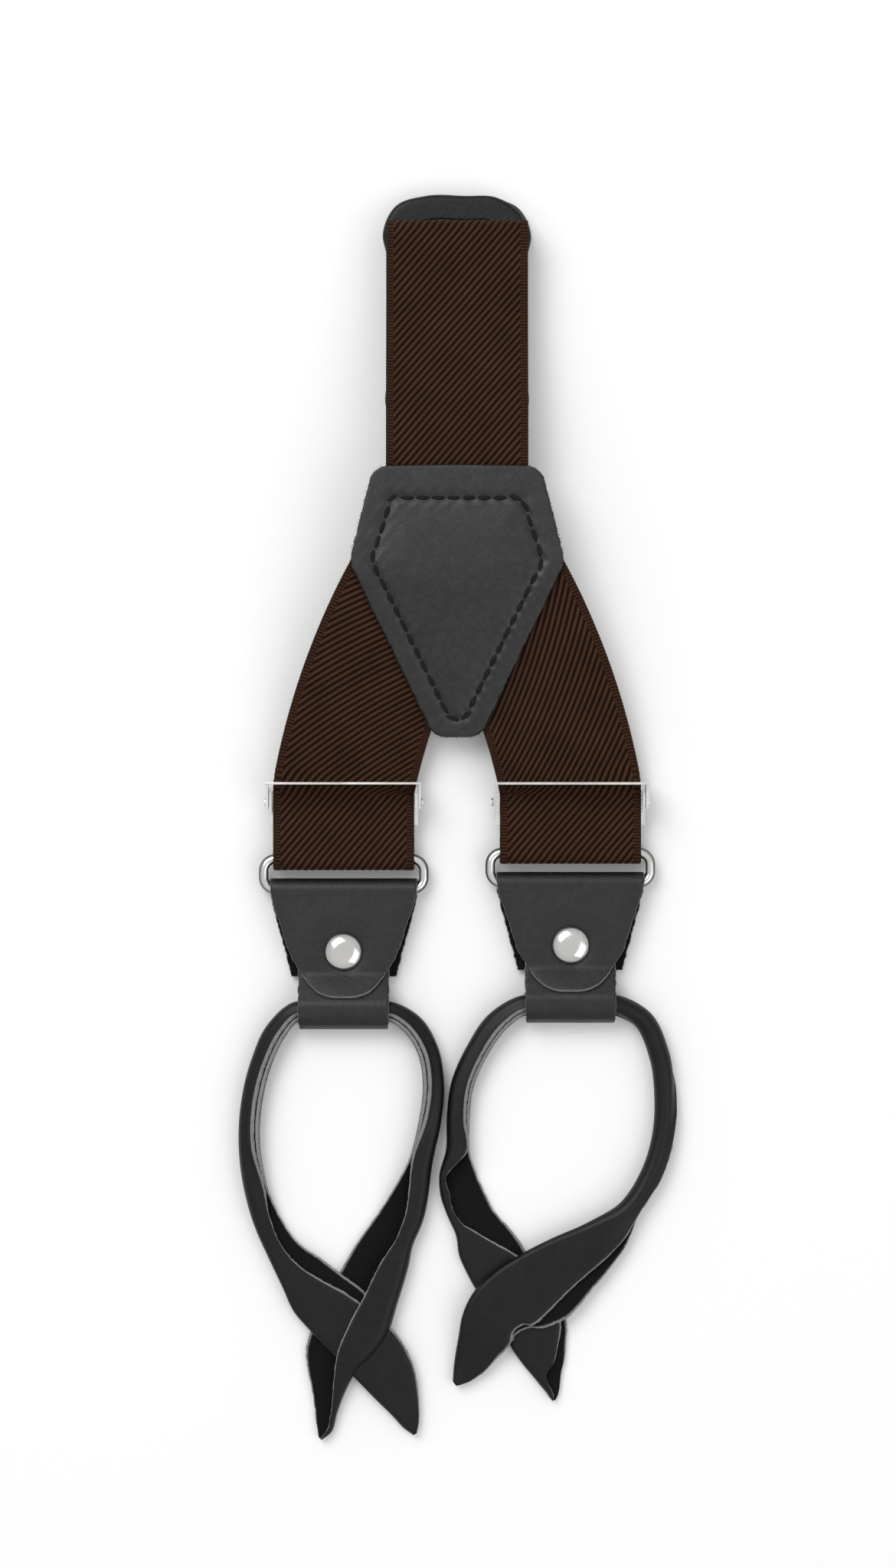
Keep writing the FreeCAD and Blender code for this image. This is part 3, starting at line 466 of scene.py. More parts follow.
def spaced(start, stop, fine_from, fine_to, coarse=1.5):
    """Distances along a strap: every half pick where the weave shows, and coarse steps elsewhere."""
    half = PICK / 2
    first, last = math.ceil(fine_from / half) * half, math.floor(fine_to / half) * half
    low = np.linspace(start, first, max(2, math.ceil((first - start) / coarse)), endpoint=False)
    high = np.linspace(last, stop, max(2, math.ceil((stop - last) / coarse)))[1:]
    ends = [start + 0.12, start + 0.35, stop - 0.35, stop - 0.12]
    return np.unique(np.r_[low, np.arange(first, last + half / 2, half), high, ends])


# %% Back strap
FOLD_TURN = 1.55
BACK_LEAN = math.radians(53)            # of the back ring, up off its chape
BACK_BAR = (END_Y["back"] - BAR_SPACING * math.cos(BACK_LEAN), STACK + BAR_SPACING * math.sin(BACK_LEAN))
FOLD_Y = 148.4 - FOLD_TURN - STRAP_THICK / 2
DIP_HEAD, DIP_FOOT, DIP_BEND = 101.0, 126.0, 25     # where it comes down from the yoke's level to its fold
FOLD_LEVEL = 7.4                        # middle of the under ply at the fold
back_run = Run([(66.0, YOKE_LEVEL), (DIP_HEAD, YOKE_LEVEL), (DIP_FOOT, FOLD_LEVEL + 2 * FOLD_TURN),
                (FOLD_Y + FOLD_TURN, FOLD_LEVEL + 2 * FOLD_TURN), (FOLD_Y + FOLD_TURN, FOLD_LEVEL),
                (DIP_FOOT, FOLD_LEVEL), (DIP_HEAD, BACK_BAR[1] + STRAP_TURN),
                (BACK_BAR[0] - STRAP_TURN, BACK_BAR[1] + STRAP_TURN),
                (BACK_BAR[0] - STRAP_TURN, BACK_BAR[1] - STRAP_TURN), (BACK_BAR[0] + 9.0, BACK_BAR[1] - STRAP_TURN)],
               [DIP_BEND, DIP_BEND, FOLD_TURN, FOLD_TURN, DIP_BEND, DIP_BEND, STRAP_TURN, STRAP_TURN])


def along_run(run):
    """A way to lay a sheet on a run: s along it, x across, and a lift off its middle."""
    def lay(s, x, lift):
        y, z, heading = run.at(s)
        return np.stack([x, y - math.sin(heading) * lift, z + math.cos(heading) * lift], -1)
    return lay


BACK_SHOWS = (17.0, 92.0)               # distances between which its weave is seen
distances = spaced(0.0, back_run.length, *BACK_SHOWS)
rows, flats, ribs = webbing_rows(distances, along_run(back_run), lambda s: BACK_SHOWS[0] <= s <= BACK_SHOWS[1])
back_elastic = close_rows("back_elastic", rows, webbing, flats, rib=ribs)
settle(back_elastic, "braces", "brown_elastic", "back_strap")
print("back strap:", len(back_elastic.data.polygons), "faces")

# %% Front straps
STRAP_TAIL = 4.5                        # where the under ply of a front strap ends
SPREAD_FROM, SPREAD_START, SPREAD_END, SPREAD_RADIUS = 6.0, 12.0, 28.5, 165.0
SPREAD_REACH, SPREAD_STEP = 84.0, 0.1   # how far its plan is walked, and in what steps
TURN_LENGTH = 4.0                       # over which the strap swings out above its adjuster
MITRE_X, YOKE_END_Y = 0.15, 65.3


def front_elastic(name, side, end):
    """One front strap: straight through its adjuster, then swung out in plan, up the ramp and cut to the mitre."""
    bar = END_Y[end] + BAR_SPACING
    run = Run([(STRAP_TAIL, STACK - STRAP_TURN), (bar - STRAP_TURN, STACK - STRAP_TURN),
               (bar - STRAP_TURN, FRONT_LEVEL), (RAMP_FOOT, FRONT_LEVEL), (RAMP_HEAD, YOKE_LEVEL), (90.0, YOKE_LEVEL)],
              [STRAP_TURN, STRAP_TURN, RAMP_BEND, RAMP_BEND])
    upper = run.along > (STRAP_TAIL - bar) + 2 * STRAP_TURN      # past the fold, y only grows
    straight_to = float(np.interp(SPREAD_FROM, run.place[upper, 0], run.along[upper]))
    steps = np.arange(0, SPREAD_REACH, SPREAD_STEP)
    angle = np.radians(np.clip(np.where(steps < TURN_LENGTH, steps / TURN_LENGTH * SPREAD_START,
                                        SPREAD_START + np.degrees((steps - TURN_LENGTH) / SPREAD_RADIUS)),
                               0, SPREAD_END))
    plan_x = END_X - np.r_[0, np.cumsum(np.sin(angle[:-1]) * SPREAD_STEP)]
    plan_y = SPREAD_FROM + np.r_[0, np.cumsum(np.cos(angle[:-1]) * SPREAD_STEP)]
    climb = np.interp(plan_y, run.place[upper, 0], np.tan(run.heading[upper])) * np.cos(angle)
    walked = np.r_[0, np.cumsum(SPREAD_STEP * np.sqrt(1 + climb[:-1] ** 2))]

    straight = along_run(run)

    def lay(s, x, lift):
        if s <= straight_to:
            return straight(s, side * END_X + x, lift)
        d = s - straight_to
        turn = float(np.interp(d, walked, angle))
        middle = (float(np.interp(d, walked, plan_x)), float(np.interp(d, walked, plan_y)))
        px = side * middle[0] + x * math.cos(turn)
        py = middle[1] + x * side * math.sin(turn)
        pz = np.interp(py, run.place[upper, 0], run.place[upper, 1])
        slope = np.interp(py, run.place[upper, 0], run.heading[upper])
        return np.stack([px, py - np.sin(slope) * lift, pz + np.cos(slope) * lift], -1)

    stop = straight_to + walked[-1]
    shows = (10.0, straight_to + 66.0)
    distances = spaced(0.0, stop, *shows)
    rows, flats, ribs = webbing_rows(distances, lay, lambda s: shows[0] <= s <= shows[1])
    strap = close_rows(name, rows, webbing, flats, rib=ribs)
    work = bmesh.new()
    work.from_mesh(strap.data)
    for at, out in (((side * MITRE_X, 0, 0), (-side, 0, 0)), ((0, YOKE_END_Y, 0), (0, 1, 0))):
        result = bmesh.ops.bisect_plane(work, geom=work.verts[:] + work.edges[:] + work.faces[:],
                                        plane_co=Vector(at) * MM, plane_no=out, clear_outer=True)
        rim = [g for g in result["geom_cut"] if isinstance(g, bmesh.types.BMEdge)]
        bmesh.ops.edgenet_fill(work, edges=rim)
    bmesh.ops.triangulate(work, faces=[f for f in work.faces if len(f.verts) > 4])
    work.to_mesh(strap.data)
    work.free()
    settle(strap, "braces", "brown_elastic", f"{end}_front_strap")
    print(name, len(strap.data.polygons), "faces")


front_elastic("left_front_elastic", -1, "left")
front_elastic("right_front_elastic", 1, "right")

# %% [markdown]
# ## Cut leathers
#
# A die cuts each leather to an outline, and the outline is given here as half a width for every distance along
# the sheet. The edge is eased on the grain side and left square on the flesh side, as a cutter leaves it. A
# cut edge is slightly ragged: that comes from a seeded noise, so the same edge comes out on each run.

# %% Sheets cut to an outline
def rounded_outline(corners, radii):
    """The right-hand half of an outline as (x, y) points with rounded corners."""
    return Run(corners, radii).place


def wander(values, pitch, seed):
    """Smooth random wander from -1 to 1 along a distance."""
    random = np.random.RandomState(seed)
    knots = random.uniform(-1, 1, int(max(values.max() - values.min(), pitch) / pitch) + 4)
    place = (values - values.min()) / pitch
    i = place.astype(int)
    t = place - i
    t = t * t * (3 - 2 * t)
    return knots[i] * (1 - t) + knots[i + 1] * t


def cut_sheet(name, distances, half_width, lay, thick, material, seed, columns, easing=0.42, lift=None):
    """A closed leather sheet. lay(s, x, up) places points, and lift(s, x) raises or sinks the grain face."""
    u = np.sin(np.linspace(-math.pi / 2, math.pi / 2, columns - 4))
    half = half_width(distances)
    half = np.maximum(half + 0.14 * wander(distances, 0.9, seed) + 0.10 * wander(distances, 0.45, seed + 1), 0.15)
    slope = np.gradient(half, distances)
    rows, flats, cuts, fleshes = [], [], [], []
    for s, wide, steep in zip(distances, half, slope):
        inner = max(wide - 0.55, wide * 0.5)
        edge = [wide - min(0.25, wide * 0.3), wide]
        x = np.r_[-edge[1], -edge[0], u * inner, edge[0], edge[1]]
        gap = np.minimum((wide - np.abs(x)) / math.hypot(1, steep), min(s - distances[0], distances[-1] - s))
        grain = thick / 2 - 0.75 * eased_edge(gap, easing)
        flesh = -(thick / 2 - 0.5 * eased_edge(gap, easing * 0.6))
        shift = lift(s, x) if lift is not None else 0.0
        top, under = lay(s, x, grain + shift), lay(s, x[::-1], flesh[::-1])
        wall = thick * 0.04
        right = lay(s, np.array([wide + wall]), np.array([0.0]))
        left = lay(s, np.array([-wide - wall]), np.array([0.0]))
        rows.append(np.concatenate([top, right, under, left]))
        across = np.r_[x, wide, x[::-1], -wide]
        down = np.r_[np.zeros(len(x)), thick / 2, np.full(len(x), thick), thick / 2]
        flats.append(np.stack([across, np.full_like(across, s), down], -1))
        rim = np.exp(-(gap / 0.12) ** 2)
        cuts.append(np.r_[rim * 0.55, 1.0, rim[::-1] * 0.9, 1.0])
        fleshes.append(np.r_[np.zeros(len(x)), 0.0, np.ones(len(x)), 0.0])
    return close_rows(name, np.array(rows), material, np.array(flats), cut=np.array(cuts), flesh=np.array(fleshes))


# %% [markdown]
# ## The yoke
#
# Two leathers hold all three straps between them, glued and sewn round with a lockstitch. The stitches pull
# the leather in and it puffs up inside the seam, which is most of what the eye reads on a plain black shape.

# %% Yoke leathers
ramp = Run([(0.0, FRONT_LEVEL), (RAMP_FOOT, FRONT_LEVEL), (RAMP_HEAD, YOKE_LEVEL), (95.0, YOKE_LEVEL)],
           [RAMP_BEND, RAMP_BEND])
YOKE_TIP, YOKE_TOP = 20.4, 86.8
yoke_edge = rounded_outline([(0.0, YOKE_TIP), (5.7, YOKE_TIP), (26.5, 63.5), (20.5, YOKE_TOP), (0.0, YOKE_TOP)],
                            [4.8, 9.0, 4.5])[1:-1]
SEAM = [(-16.0, 79.0), (16.0, 79.0), (21.0, 63.6), (1.9, 25.0), (-1.9, 25.0), (-21.0, 63.6)]
LEATHER_OFFSET = STRAP_THICK / 2 + 0.1 + LEATHER_THICK / 2


def seam_gap(x, y):
    """Distance from the seam line, and whether the point is inside it."""
    best, inside = np.full(np.shape(x), 1e9), np.ones(np.shape(x), bool)
    for (ax, ay), (bx, by) in zip(SEAM, SEAM[1:] + SEAM[:1]):
        dx, dy = bx - ax, by - ay
        t = np.clip(((x - ax) * dx + (y - ay) * dy) / (dx * dx + dy * dy), 0, 1)
        best = np.minimum(best, np.hypot(x - ax - t * dx, y - ay - t * dy))
        inside &= (dx * (y - ay) - dy * (x - ax)) < 0
    return best, inside


def on_ramp(side):
    """A way to lay a yoke leather on the ramp: side is 1 for the face above and -1 for the one below."""
    def lay(s, x, up):
        reach = side * LEATHER_OFFSET
        slope = np.interp(s, ramp.place[:, 0], ramp.heading)
        base = np.interp(s + reach * math.sin(slope), ramp.place[:, 0], ramp.place[:, 1])
        bow = 0.35 * (1 - (x / 20.5) ** 2) * np.clip((s - 80) / 6.8, 0, 1)
        lift = (reach + side * up) / math.cos(slope)
        return np.stack([x * side, s + bow + 0 * x, base + lift + 0 * x], -1)
    return lay


def yoke_puff(s, x):
    """The leather is drawn down and puckered along the seam, and puffs up inside it."""
    gap, inside = seam_gap(x, np.full_like(x, s))
    pucker = 0.08 * np.cos(2 * np.pi * (s + np.abs(x)) / 3.8) * np.exp(-(gap / 2.2) ** 2)
    return (np.where(inside, 0.42 * (1 - np.exp(-(gap / 5.0) ** 2)), 0.16 * (1 - np.exp(-(gap / 1.2) ** 2)))
            - 0.36 * np.exp(-(gap / 0.9) ** 2) + pucker)


yoke_distances = np.unique(np.r_[np.arange(YOKE_TIP, YOKE_TOP, 0.45), YOKE_TIP + 0.12, YOKE_TIP + 0.3,
                                 YOKE_TOP - 0.3, YOKE_TOP - 0.12, YOKE_TOP])
for name, side, node, seed in (("yoke_front_panel", 1, "yoke_front_leather", 11),
                               ("yoke_back_panel", -1, "yoke_back_leather", 17)):
    panel = cut_sheet(name, yoke_distances, lambda s: np.interp(s, yoke_edge[:, 1], yoke_edge[:, 0]),
                      on_ramp(side), LEATHER_THICK, yoke_leather, seed, columns=105, easing=0.5, lift=yoke_puff)
    settle(panel, "braces", "black_leather", node)
print("yoke: two leathers")

# %% [markdown]
# ## Stitches
#
# A seam is one small shape repeated along a line, which is what Geometry Nodes are for. The tree takes the
# seam as a line, walks it at the stitch pitch and puts a plump oval of thread at each step, turned along it.

# %% A node tree that sews
def node_group(name, inputs):
    """An empty geometry tree with a geometry input, named value inputs and a geometry output."""
    tree = bpy.data.node_groups.new(name, "GeometryNodeTree")
    tree.interface.new_socket("Line", in_out="INPUT", socket_type="NodeSocketGeometry")
    for label, kind in inputs:
        tree.interface.new_socket(label, in_out="INPUT", socket_type=kind)
    tree.interface.new_socket("Geometry", in_out="OUTPUT", socket_type="NodeSocketGeometry")
    return tree, tree.nodes.new("NodeGroupInput"), tree.nodes.new("NodeGroupOutput")


def run_tree(piece, tree, values):
    """Run a geometry tree on a piece and keep the result as its plain mesh."""
    modifier = piece.modifiers.new(tree.name, "NODES")
    modifier.node_group = tree
    for item in tree.interface.items_tree:
        if item.in_out == "INPUT" and item.name in values:
            modifier[item.identifier] = values[item.name]
    bpy.context.view_layer.update()
    depsgraph = bpy.context.evaluated_depsgraph_get()
    mesh = bpy.data.meshes.new_from_object(piece.evaluated_get(depsgraph))
    piece.modifiers.clear()
    piece.data = mesh
    return piece


def repeated(tree, given, result, step, shape, turn, scale, material, smooth):
    """Walk the line in steps and put a shape on each, turned, scaled along its three axes and painted."""
    new, link = tree.nodes.new, tree.links.new
    kinds = ["GeometryNodeMeshToCurve", "GeometryNodeResampleCurve", "GeometryNodeInstanceOnPoints",
             "GeometryNodeRealizeInstances"]
    kinds += ["GeometryNodeSetShadeSmooth"] * smooth + ["GeometryNodeSetMaterial"]
    chain = [new(kind) for kind in kinds]
    walk, place, grow = chain[1], chain[2], new("ShaderNodeCombineXYZ")
    walk.mode = "LENGTH"
    chain[-1].inputs["Material"].default_value = material
    link(given.outputs["Line"], chain[0].inputs[0])
    for node, following in zip(chain, chain[1:]):
        link(node.outputs[0], following.inputs[0])
    link(given.outputs[step], walk.inputs["Length"])
    link(shape.outputs["Mesh"], place.inputs["Instance"])
    link(turn.outputs[0], place.inputs["Rotation"])
    for axis, source in zip("XYZ", scale):
        link(source, grow.inputs[axis])
    link(grow.outputs[0], place.inputs["Scale"])
    link(chain[-1].outputs[0], result.inputs[0])
    return tree


def sewing_tree(material):
    """A plump oval of thread on each step, turned along the seam."""
    tree, given, result = node_group("Lockstitch", [("Pitch", "NodeSocketFloat"), ("Stitch length", "NodeSocketFloat"),
                                                    ("Thread", "NodeSocketFloat")])
    oval = tree.nodes.new("GeometryNodeMeshUVSphere")
    oval.inputs["Segments"].default_value, oval.inputs["Rings"].default_value = 8, 6
    oval.inputs["Radius"].default_value = 0.5
    turn, tangent = tree.nodes.new("FunctionNodeAlignRotationToVector"), tree.nodes.new("GeometryNodeInputTangent")
    turn.axis = "X"
    tree.links.new(tangent.outputs[0], turn.inputs["Vector"])
    scale = [given.outputs[label] for label in ("Stitch length", "Thread", "Thread")]
    return repeated(tree, given, result, "Pitch", oval, turn, scale, material, smooth=True)


def line_object(name, lines, vectors=None):
    """An object of open or closed lines of points, in millimetres, for a tree to walk."""
    mesh = bpy.data.meshes.new(name)
    points, edges = [], []
    for line, closed in lines:
        first = len(points)
        points += [tuple(np.array(p) * MM) for p in line]
        edges += [(first + k, first + k + 1) for k in range(len(line) - 1)]
        edges += [(first + len(line) - 1, first)] if closed else []
    mesh.from_pydata(points, edges, [])
    if vectors is not None:
        mark_points(mesh, "outward", vectors, vector=True)
    return placed(name, mesh)


# %% Sew the yoke
def seam_line(side):
    """The seam on one face of the yoke, sampled closely so that it follows the ramp."""
    points, sink = [], -0.30 if side > 0 else -0.12
    for (ax, ay), (bx, by) in zip(SEAM, SEAM[1:] + SEAM[:1]):
        for t in np.linspace(0, 1, 24, endpoint=False):
            x, y = ax + (bx - ax) * t, ay + (by - ay) * t
            points.append(on_ramp(side)(y, np.array([x * side]), np.array([LEATHER_THICK / 2 + sink]))[0])
    return points


seam = line_object("yoke_seam", [(seam_line(1), True), (seam_line(-1), True)])
sewing = sewing_tree(thread_black)
run_tree(seam, sewing, {"Pitch": 3.8 * MM, "Stitch length": 3.5 * MM, "Thread": 1.05 * MM})
settle(seam, "braces", "black_thread", "yoke_stitching")
print("yoke seam:", len(seam.data.polygons), "faces")

# %% [markdown]
# ## Loose fibres
#
# A clicked-out leather shows its suede side as a fringe of loose fibres along the cut. They are far too many to
# place by hand, so the same idea as the stitches is used: walk the outline in small steps, put a three-sided
# hair on each step, lean it outwards and vary its lean and length at random, with a fixed seed.

# %% Fringe the yoke
def fringe_tree(material):
    tree, given, result = node_group("Fringe", [("Step", "NodeSocketFloat"), ("Hair length", "NodeSocketFloat"),
                                                ("Hair width", "NodeSocketFloat"), ("Seed", "NodeSocketInt")])
    new, link = tree.nodes.new, tree.links.new
    hair = new("GeometryNodeMeshCone")
    hair.inputs["Vertices"].default_value, hair.inputs["Depth"].default_value = 3, 1.0
    hair.inputs["Radius Top"].default_value, hair.inputs["Radius Bottom"].default_value = 0.0, 0.5
    outward = new("GeometryNodeInputNamedAttribute")
    outward.data_type = "FLOAT_VECTOR"
    outward.inputs["Name"].default_value = "outward"
    stray, vary = new("FunctionNodeRandomValue"), new("FunctionNodeRandomValue")
    stray.data_type, vary.data_type = "FLOAT_VECTOR", "FLOAT"
    stray.inputs[0].default_value, stray.inputs[1].default_value = (-1.1, -1.1, -0.3), (1.1, 1.1, 0.5)
    vary.inputs[2].default_value, vary.inputs[3].default_value = 0.25, 1.5
    lean, size, turn = new("ShaderNodeVectorMath"), new("ShaderNodeMath"), new("FunctionNodeAlignRotationToVector")
    size.operation, turn.axis = "MULTIPLY", "Z"
    for random in (stray, vary):
        link(given.outputs["Seed"], random.inputs["Seed"])
    link(outward.outputs["Attribute"], lean.inputs[0])
    link(stray.outputs[0], lean.inputs[1])
    link(lean.outputs[0], turn.inputs["Vector"])
    link(given.outputs["Hair length"], size.inputs[0])
    link(vary.outputs[1], size.inputs[1])
    width = given.outputs["Hair width"]
    return repeated(tree, given, result, "Step", hair, turn, (width, width, size.outputs[0]), material, smooth=False)


outline = np.vstack([yoke_edge, yoke_edge[::-1] * [-1, 1]])
along = unit(np.roll(outline, -1, axis=0) - np.roll(outline, 1, axis=0))
fringe_line = [on_ramp(1)(y, np.array([x]), np.array([-LEATHER_THICK / 4]))[0] for x, y in outline]
fringe = line_object("yoke_edge_fibres", [(fringe_line, True)], [(ty, -tx, 0.0) for tx, ty in along])
run_tree(fringe, fringe_tree(thread_black),
         {"Step": 0.3 * MM, "Hair length": 0.62 * MM, "Hair width": 0.14 * MM, "Seed": 5})
settle(fringe, "braces", "black_leather")
print("fibres:", len(fringe.data.polygons), "faces")

# %% [markdown]
# ## Leather ends
#
# Each end is one tongue of leather, the chape, led round the ring bar with its tail behind it, and a narrow
# strip folded round the button loop. A rivet goes through all four plies. The chape dips where the rivet
# clamps it and lifts where it rides over the strip.

# %% Chapes
STRIP_UPPER = STACK + STRIP_THICK / 2 + 0.05
STRIP_LOWER = STACK - STRIP_THICK / 2 - 0.05
CHAPE_TURN = WRAP + LEATHER_THICK / 2
ROLL_Y, ROLL_LEVEL, ROLL = -30.6, 4.35, 5.7
STRIP_TURN = ROLL / 2 + 0.1 + STRIP_THICK / 2
RIVET_Y = -15.4
STRIP_END_Y, UPPER_BEND_Y, LOWER_BEND_Y = -6.5, -21.5, -22.8
ROLL_MARGIN = 2.2                       # level stretch of the strip beyond the middle of its loop
STRIP_RISE = math.atan2(ROLL_LEVEL + STRIP_TURN - STRIP_UPPER, UPPER_BEND_Y - ROLL_Y - ROLL_MARGIN)
OVER_STRIP = STRIP_THICK / 2 + 0.1 + LEATHER_THICK / 2
RISE_Y = UPPER_BEND_Y + OVER_STRIP * math.tan(STRIP_RISE / 2)
TIP_Y, TAIL_Y = -26.6, -21.8
chape_run = Run([(TIP_Y, STACK + CHAPE_TURN + (RISE_Y - TIP_Y) * math.tan(STRIP_RISE)), (RISE_Y, STACK + CHAPE_TURN),
                 (CHAPE_TURN, STACK + CHAPE_TURN), (CHAPE_TURN, STACK - CHAPE_TURN), (TAIL_Y, STACK - CHAPE_TURN)],
                [5.0 - OVER_STRIP, CHAPE_TURN, CHAPE_TURN])
tongue = rounded_outline([(-6.5, TIP_Y), (6.5, TIP_Y), (13.0, -17.0), (18.25, -1.0), (18.25, 5.0)], [9, 14, 10])
tongue = tongue[tongue[:, 0] >= 0]
tail = rounded_outline([(13.0, TAIL_Y - 0.01), (18.25, -2.0), (18.25, 5.0)], [3])


def chape_half(distances):
    y, z, _ = chape_run.at(distances)
    front = np.interp(y, tongue[:, 1], tongue[:, 0])
    behind = np.interp(y, tail[:, 1], tail[:, 0])
    return np.where(z > STACK, front, behind)


def in_end(run, end):
    lay = along_run(run)
    return lambda s, x, up: set_down(lay(s, x, up), end)


def chape_dent(s, x):
    """The upper ply dips under the rivet's cap and swells a little round it."""
    y, z, _ = chape_run.at(s)
    if z < STACK:
        return 0.0
    away = np.hypot(x, y - RIVET_Y)
    clamp = -0.34 * np.exp(-(np.maximum(away - 3.6, 0) / 1.6) ** 2)
    return clamp + 0.16 * np.exp(-((away - 9) / 4.0) ** 2)


chape_distances = np.unique(np.r_[np.linspace(0, 1.2, 14) ** 1.4 / 1.2 ** 0.4, np.arange(1.2, chape_run.length, 0.42),
                                  chape_run.length - 0.25, chape_run.length - 0.1, chape_run.length])
for end, seed in (("left", 21), ("right", 27), ("back", 33)):
    chape = cut_sheet(f"{end}_tongue_chape", chape_distances, chape_half, in_end(chape_run, end), LEATHER_THICK,
                      chape_leather, seed, columns=63, lift=chape_dent)
    settle(chape, f"{end}_end", "black_leather", f"{end}_chape")
print("three chapes")

# %% Strips that hold the loops
strip_run = Run([(STRIP_END_Y, STRIP_LOWER), (LOWER_BEND_Y, STRIP_LOWER),
                 (ROLL_Y + ROLL_MARGIN, ROLL_LEVEL - STRIP_TURN), (ROLL_Y - STRIP_TURN, ROLL_LEVEL - STRIP_TURN),
                 (ROLL_Y - STRIP_TURN, ROLL_LEVEL + STRIP_TURN), (ROLL_Y + ROLL_MARGIN, ROLL_LEVEL + STRIP_TURN),
                 (UPPER_BEND_Y, STRIP_UPPER), (STRIP_END_Y, STRIP_UPPER)],
                [5.0, 3.0, STRIP_TURN, STRIP_TURN, 3.0, 5.0])


def strip_half(distances):
    """The strip narrows a little at its fold, and its corners there are soft."""
    y, z, _ = strip_run.at(distances)
    return 11.25 - 0.35 * np.exp(-((y - (ROLL_Y - STRIP_TURN)) / 1.6) ** 2)


strip_distances = np.unique(np.r_[np.arange(0, strip_run.length, 0.45), 0.12, 0.3, strip_run.length - 0.3,
                                  strip_run.length - 0.12, strip_run.length])
for end, seed in (("left", 41), ("right", 47), ("back", 53)):
    strip = cut_sheet(f"{end}_folded_strip", strip_distances, strip_half, in_end(strip_run, end), STRIP_THICK,
                      chape_leather, seed, columns=45)
    settle(strip, f"{end}_end", "black_leather", f"{end}_loop_strip")
print("three strips")

# %% [markdown]
# ## Rivets
#
# A rivet is turned work, so its profile is drawn once and spun about its axis: a stem, a pressed dome with a
# rolled rim on one end and a flat closing disc on the other.

# %% Turned pieces
def turned(name, profile, centre, material, segments=64):
    """A closed solid of revolution about a vertical axis. The profile is (radius, height) from axis to axis."""
    points, faces, rings = [], [], []
    for radius, height in profile:
        if radius == 0:
            rings.append([len(points)])
            points.append((centre[0], centre[1], height))
        else:
            first = len(points)
            rings.append(list(range(first, first + segments)))
            points += [(centre[0] + radius * math.cos(2 * math.pi * k / segments),
                        centre[1] + radius * math.sin(2 * math.pi * k / segments), height) for k in range(segments)]
    for low, high in zip(rings, rings[1:]):
        for k in range(segments):
            n = (k + 1) % segments
            if len(low) == 1:
                faces.append((low[0], high[n], high[k]))
            elif len(high) == 1:
                faces.append((low[k], low[n], high[0]))
            else:
                faces.append((low[k], low[n], high[n], high[k]))
    mesh = bpy.data.meshes.new(name)
    mesh.from_pydata([tuple(v * MM for v in p) for p in points], [], faces)
    return object_from(name, mesh, material)


SEAT = STACK + WRAP + LEATHER_THICK + 0.1
DOME = [(0, 0.7), (1.5, 0.7), (1.5, SEAT - 0.25), (4.2, SEAT - 0.25), (4.5, SEAT - 0.16), (4.65, SEAT + 0.12),
        (4.62, SEAT + 0.42), (4.45, SEAT + 0.75), (4.05, SEAT + 1.12), (3.4, SEAT + 1.45), (2.5, SEAT + 1.70),
        (1.4, SEAT + 1.85), (0.6, SEAT + 1.89), (0, SEAT + 1.9)]
DISC = [(0, 0.0), (2.2, 0.0), (2.4, 0.08), (2.7, 0.08), (2.9, 0.0), (3.75, 0.0), (3.95, 0.12), (4.0, 0.3),
        (3.95, 0.48), (3.75, 0.6), (1.6, 0.6), (0, 0.6)]
for end in ("left", "right", "back"):
    middle = set_down(np.array([[0.0, RIVET_Y, 0.0]]), end)[0]
    cap = turned(f"{end}_domed_rivet", DOME, middle, nickel_rivet)
    settle(cap, f"{end}_end", "nickel_rivet", f"{end}_rivet_cap")
    disc = turned(f"{end}_rivet_disc", DISC, middle, nickel_rivet)
    settle(disc, f"{end}_end", "nickel_rivet", f"{end}_rivet_back")
print("three rivets")

# %% [markdown]
# ## Rings
#
# A ring is bent from round wire, and its ends meet under the strap, out of sight, so this mesh is simply closed.
# A round section is swept along a rounded oblong. The back ring leans up off its chape, because its strap
# passes above the leather.

# %% Wire rings
WIRE, RING_LENGTH, RING_CORNER = 2.4, 42.3, 3.0
CORNER_STEPS = 12
ROUND = [2 * math.pi * k / 20 for k in range(20)]


def wire_ring(end, lean):
    """One ring: a rounded oblong line, and a round section turned outwards at each point of it."""
    across, up = (RING_LENGTH - WIRE) / 2 - RING_CORNER, BAR_SPACING / 2
    sections = []
    for quarter, (sx, sy) in enumerate(((1, 1), (-1, 1), (-1, -1), (1, -1))):
        cx, cy = sx * across, sy * (up - RING_CORNER)
        for k in range(CORNER_STEPS + 1):
            a = math.radians(90 * quarter + 90 / CORNER_STEPS * k)
            out = np.array([math.cos(a), math.sin(a), 0.0])
            middle = np.array([cx + RING_CORNER * out[0], cy + up + RING_CORNER * out[1], 0.0])
            for turn in ROUND:
                sections.append(middle + WIRE / 2 * (out * math.cos(turn) + np.array([0, 0, 1.0]) * math.sin(turn)))
    points = np.array(sections)
    y, z = points[:, 1].copy(), points[:, 2].copy()
    points[:, 1] = y * math.cos(lean) - z * math.sin(lean)
    points[:, 2] = y * math.sin(lean) + z * math.cos(lean) + STACK
    points = set_down(points, end)
    around = len(ROUND)
    count = len(points) // around
    faces = [(i * around + k, (i + 1) % count * around + k, (i + 1) % count * around + (k + 1) % around,
              i * around + (k + 1) % around) for i in range(count) for k in range(around)]
    mesh = bpy.data.meshes.new(f"{end}_wire_ring")
    mesh.from_pydata((points * MM).tolist(), [], faces)
    crown = [max(math.sin(turn), 0.0) for turn in ROUND] * count
    mark_points(mesh, "crown", crown)
    ring = object_from(f"{end}_wire_ring", mesh, nickel_wire)
    settle(ring, f"{end}_link", "nickel_wire", f"{end}_ring")


for end, lean in (("left", 0.0), ("right", 0.0), ("back", BACK_LEAN)):
    wire_ring(end, lean)
print("three rings")

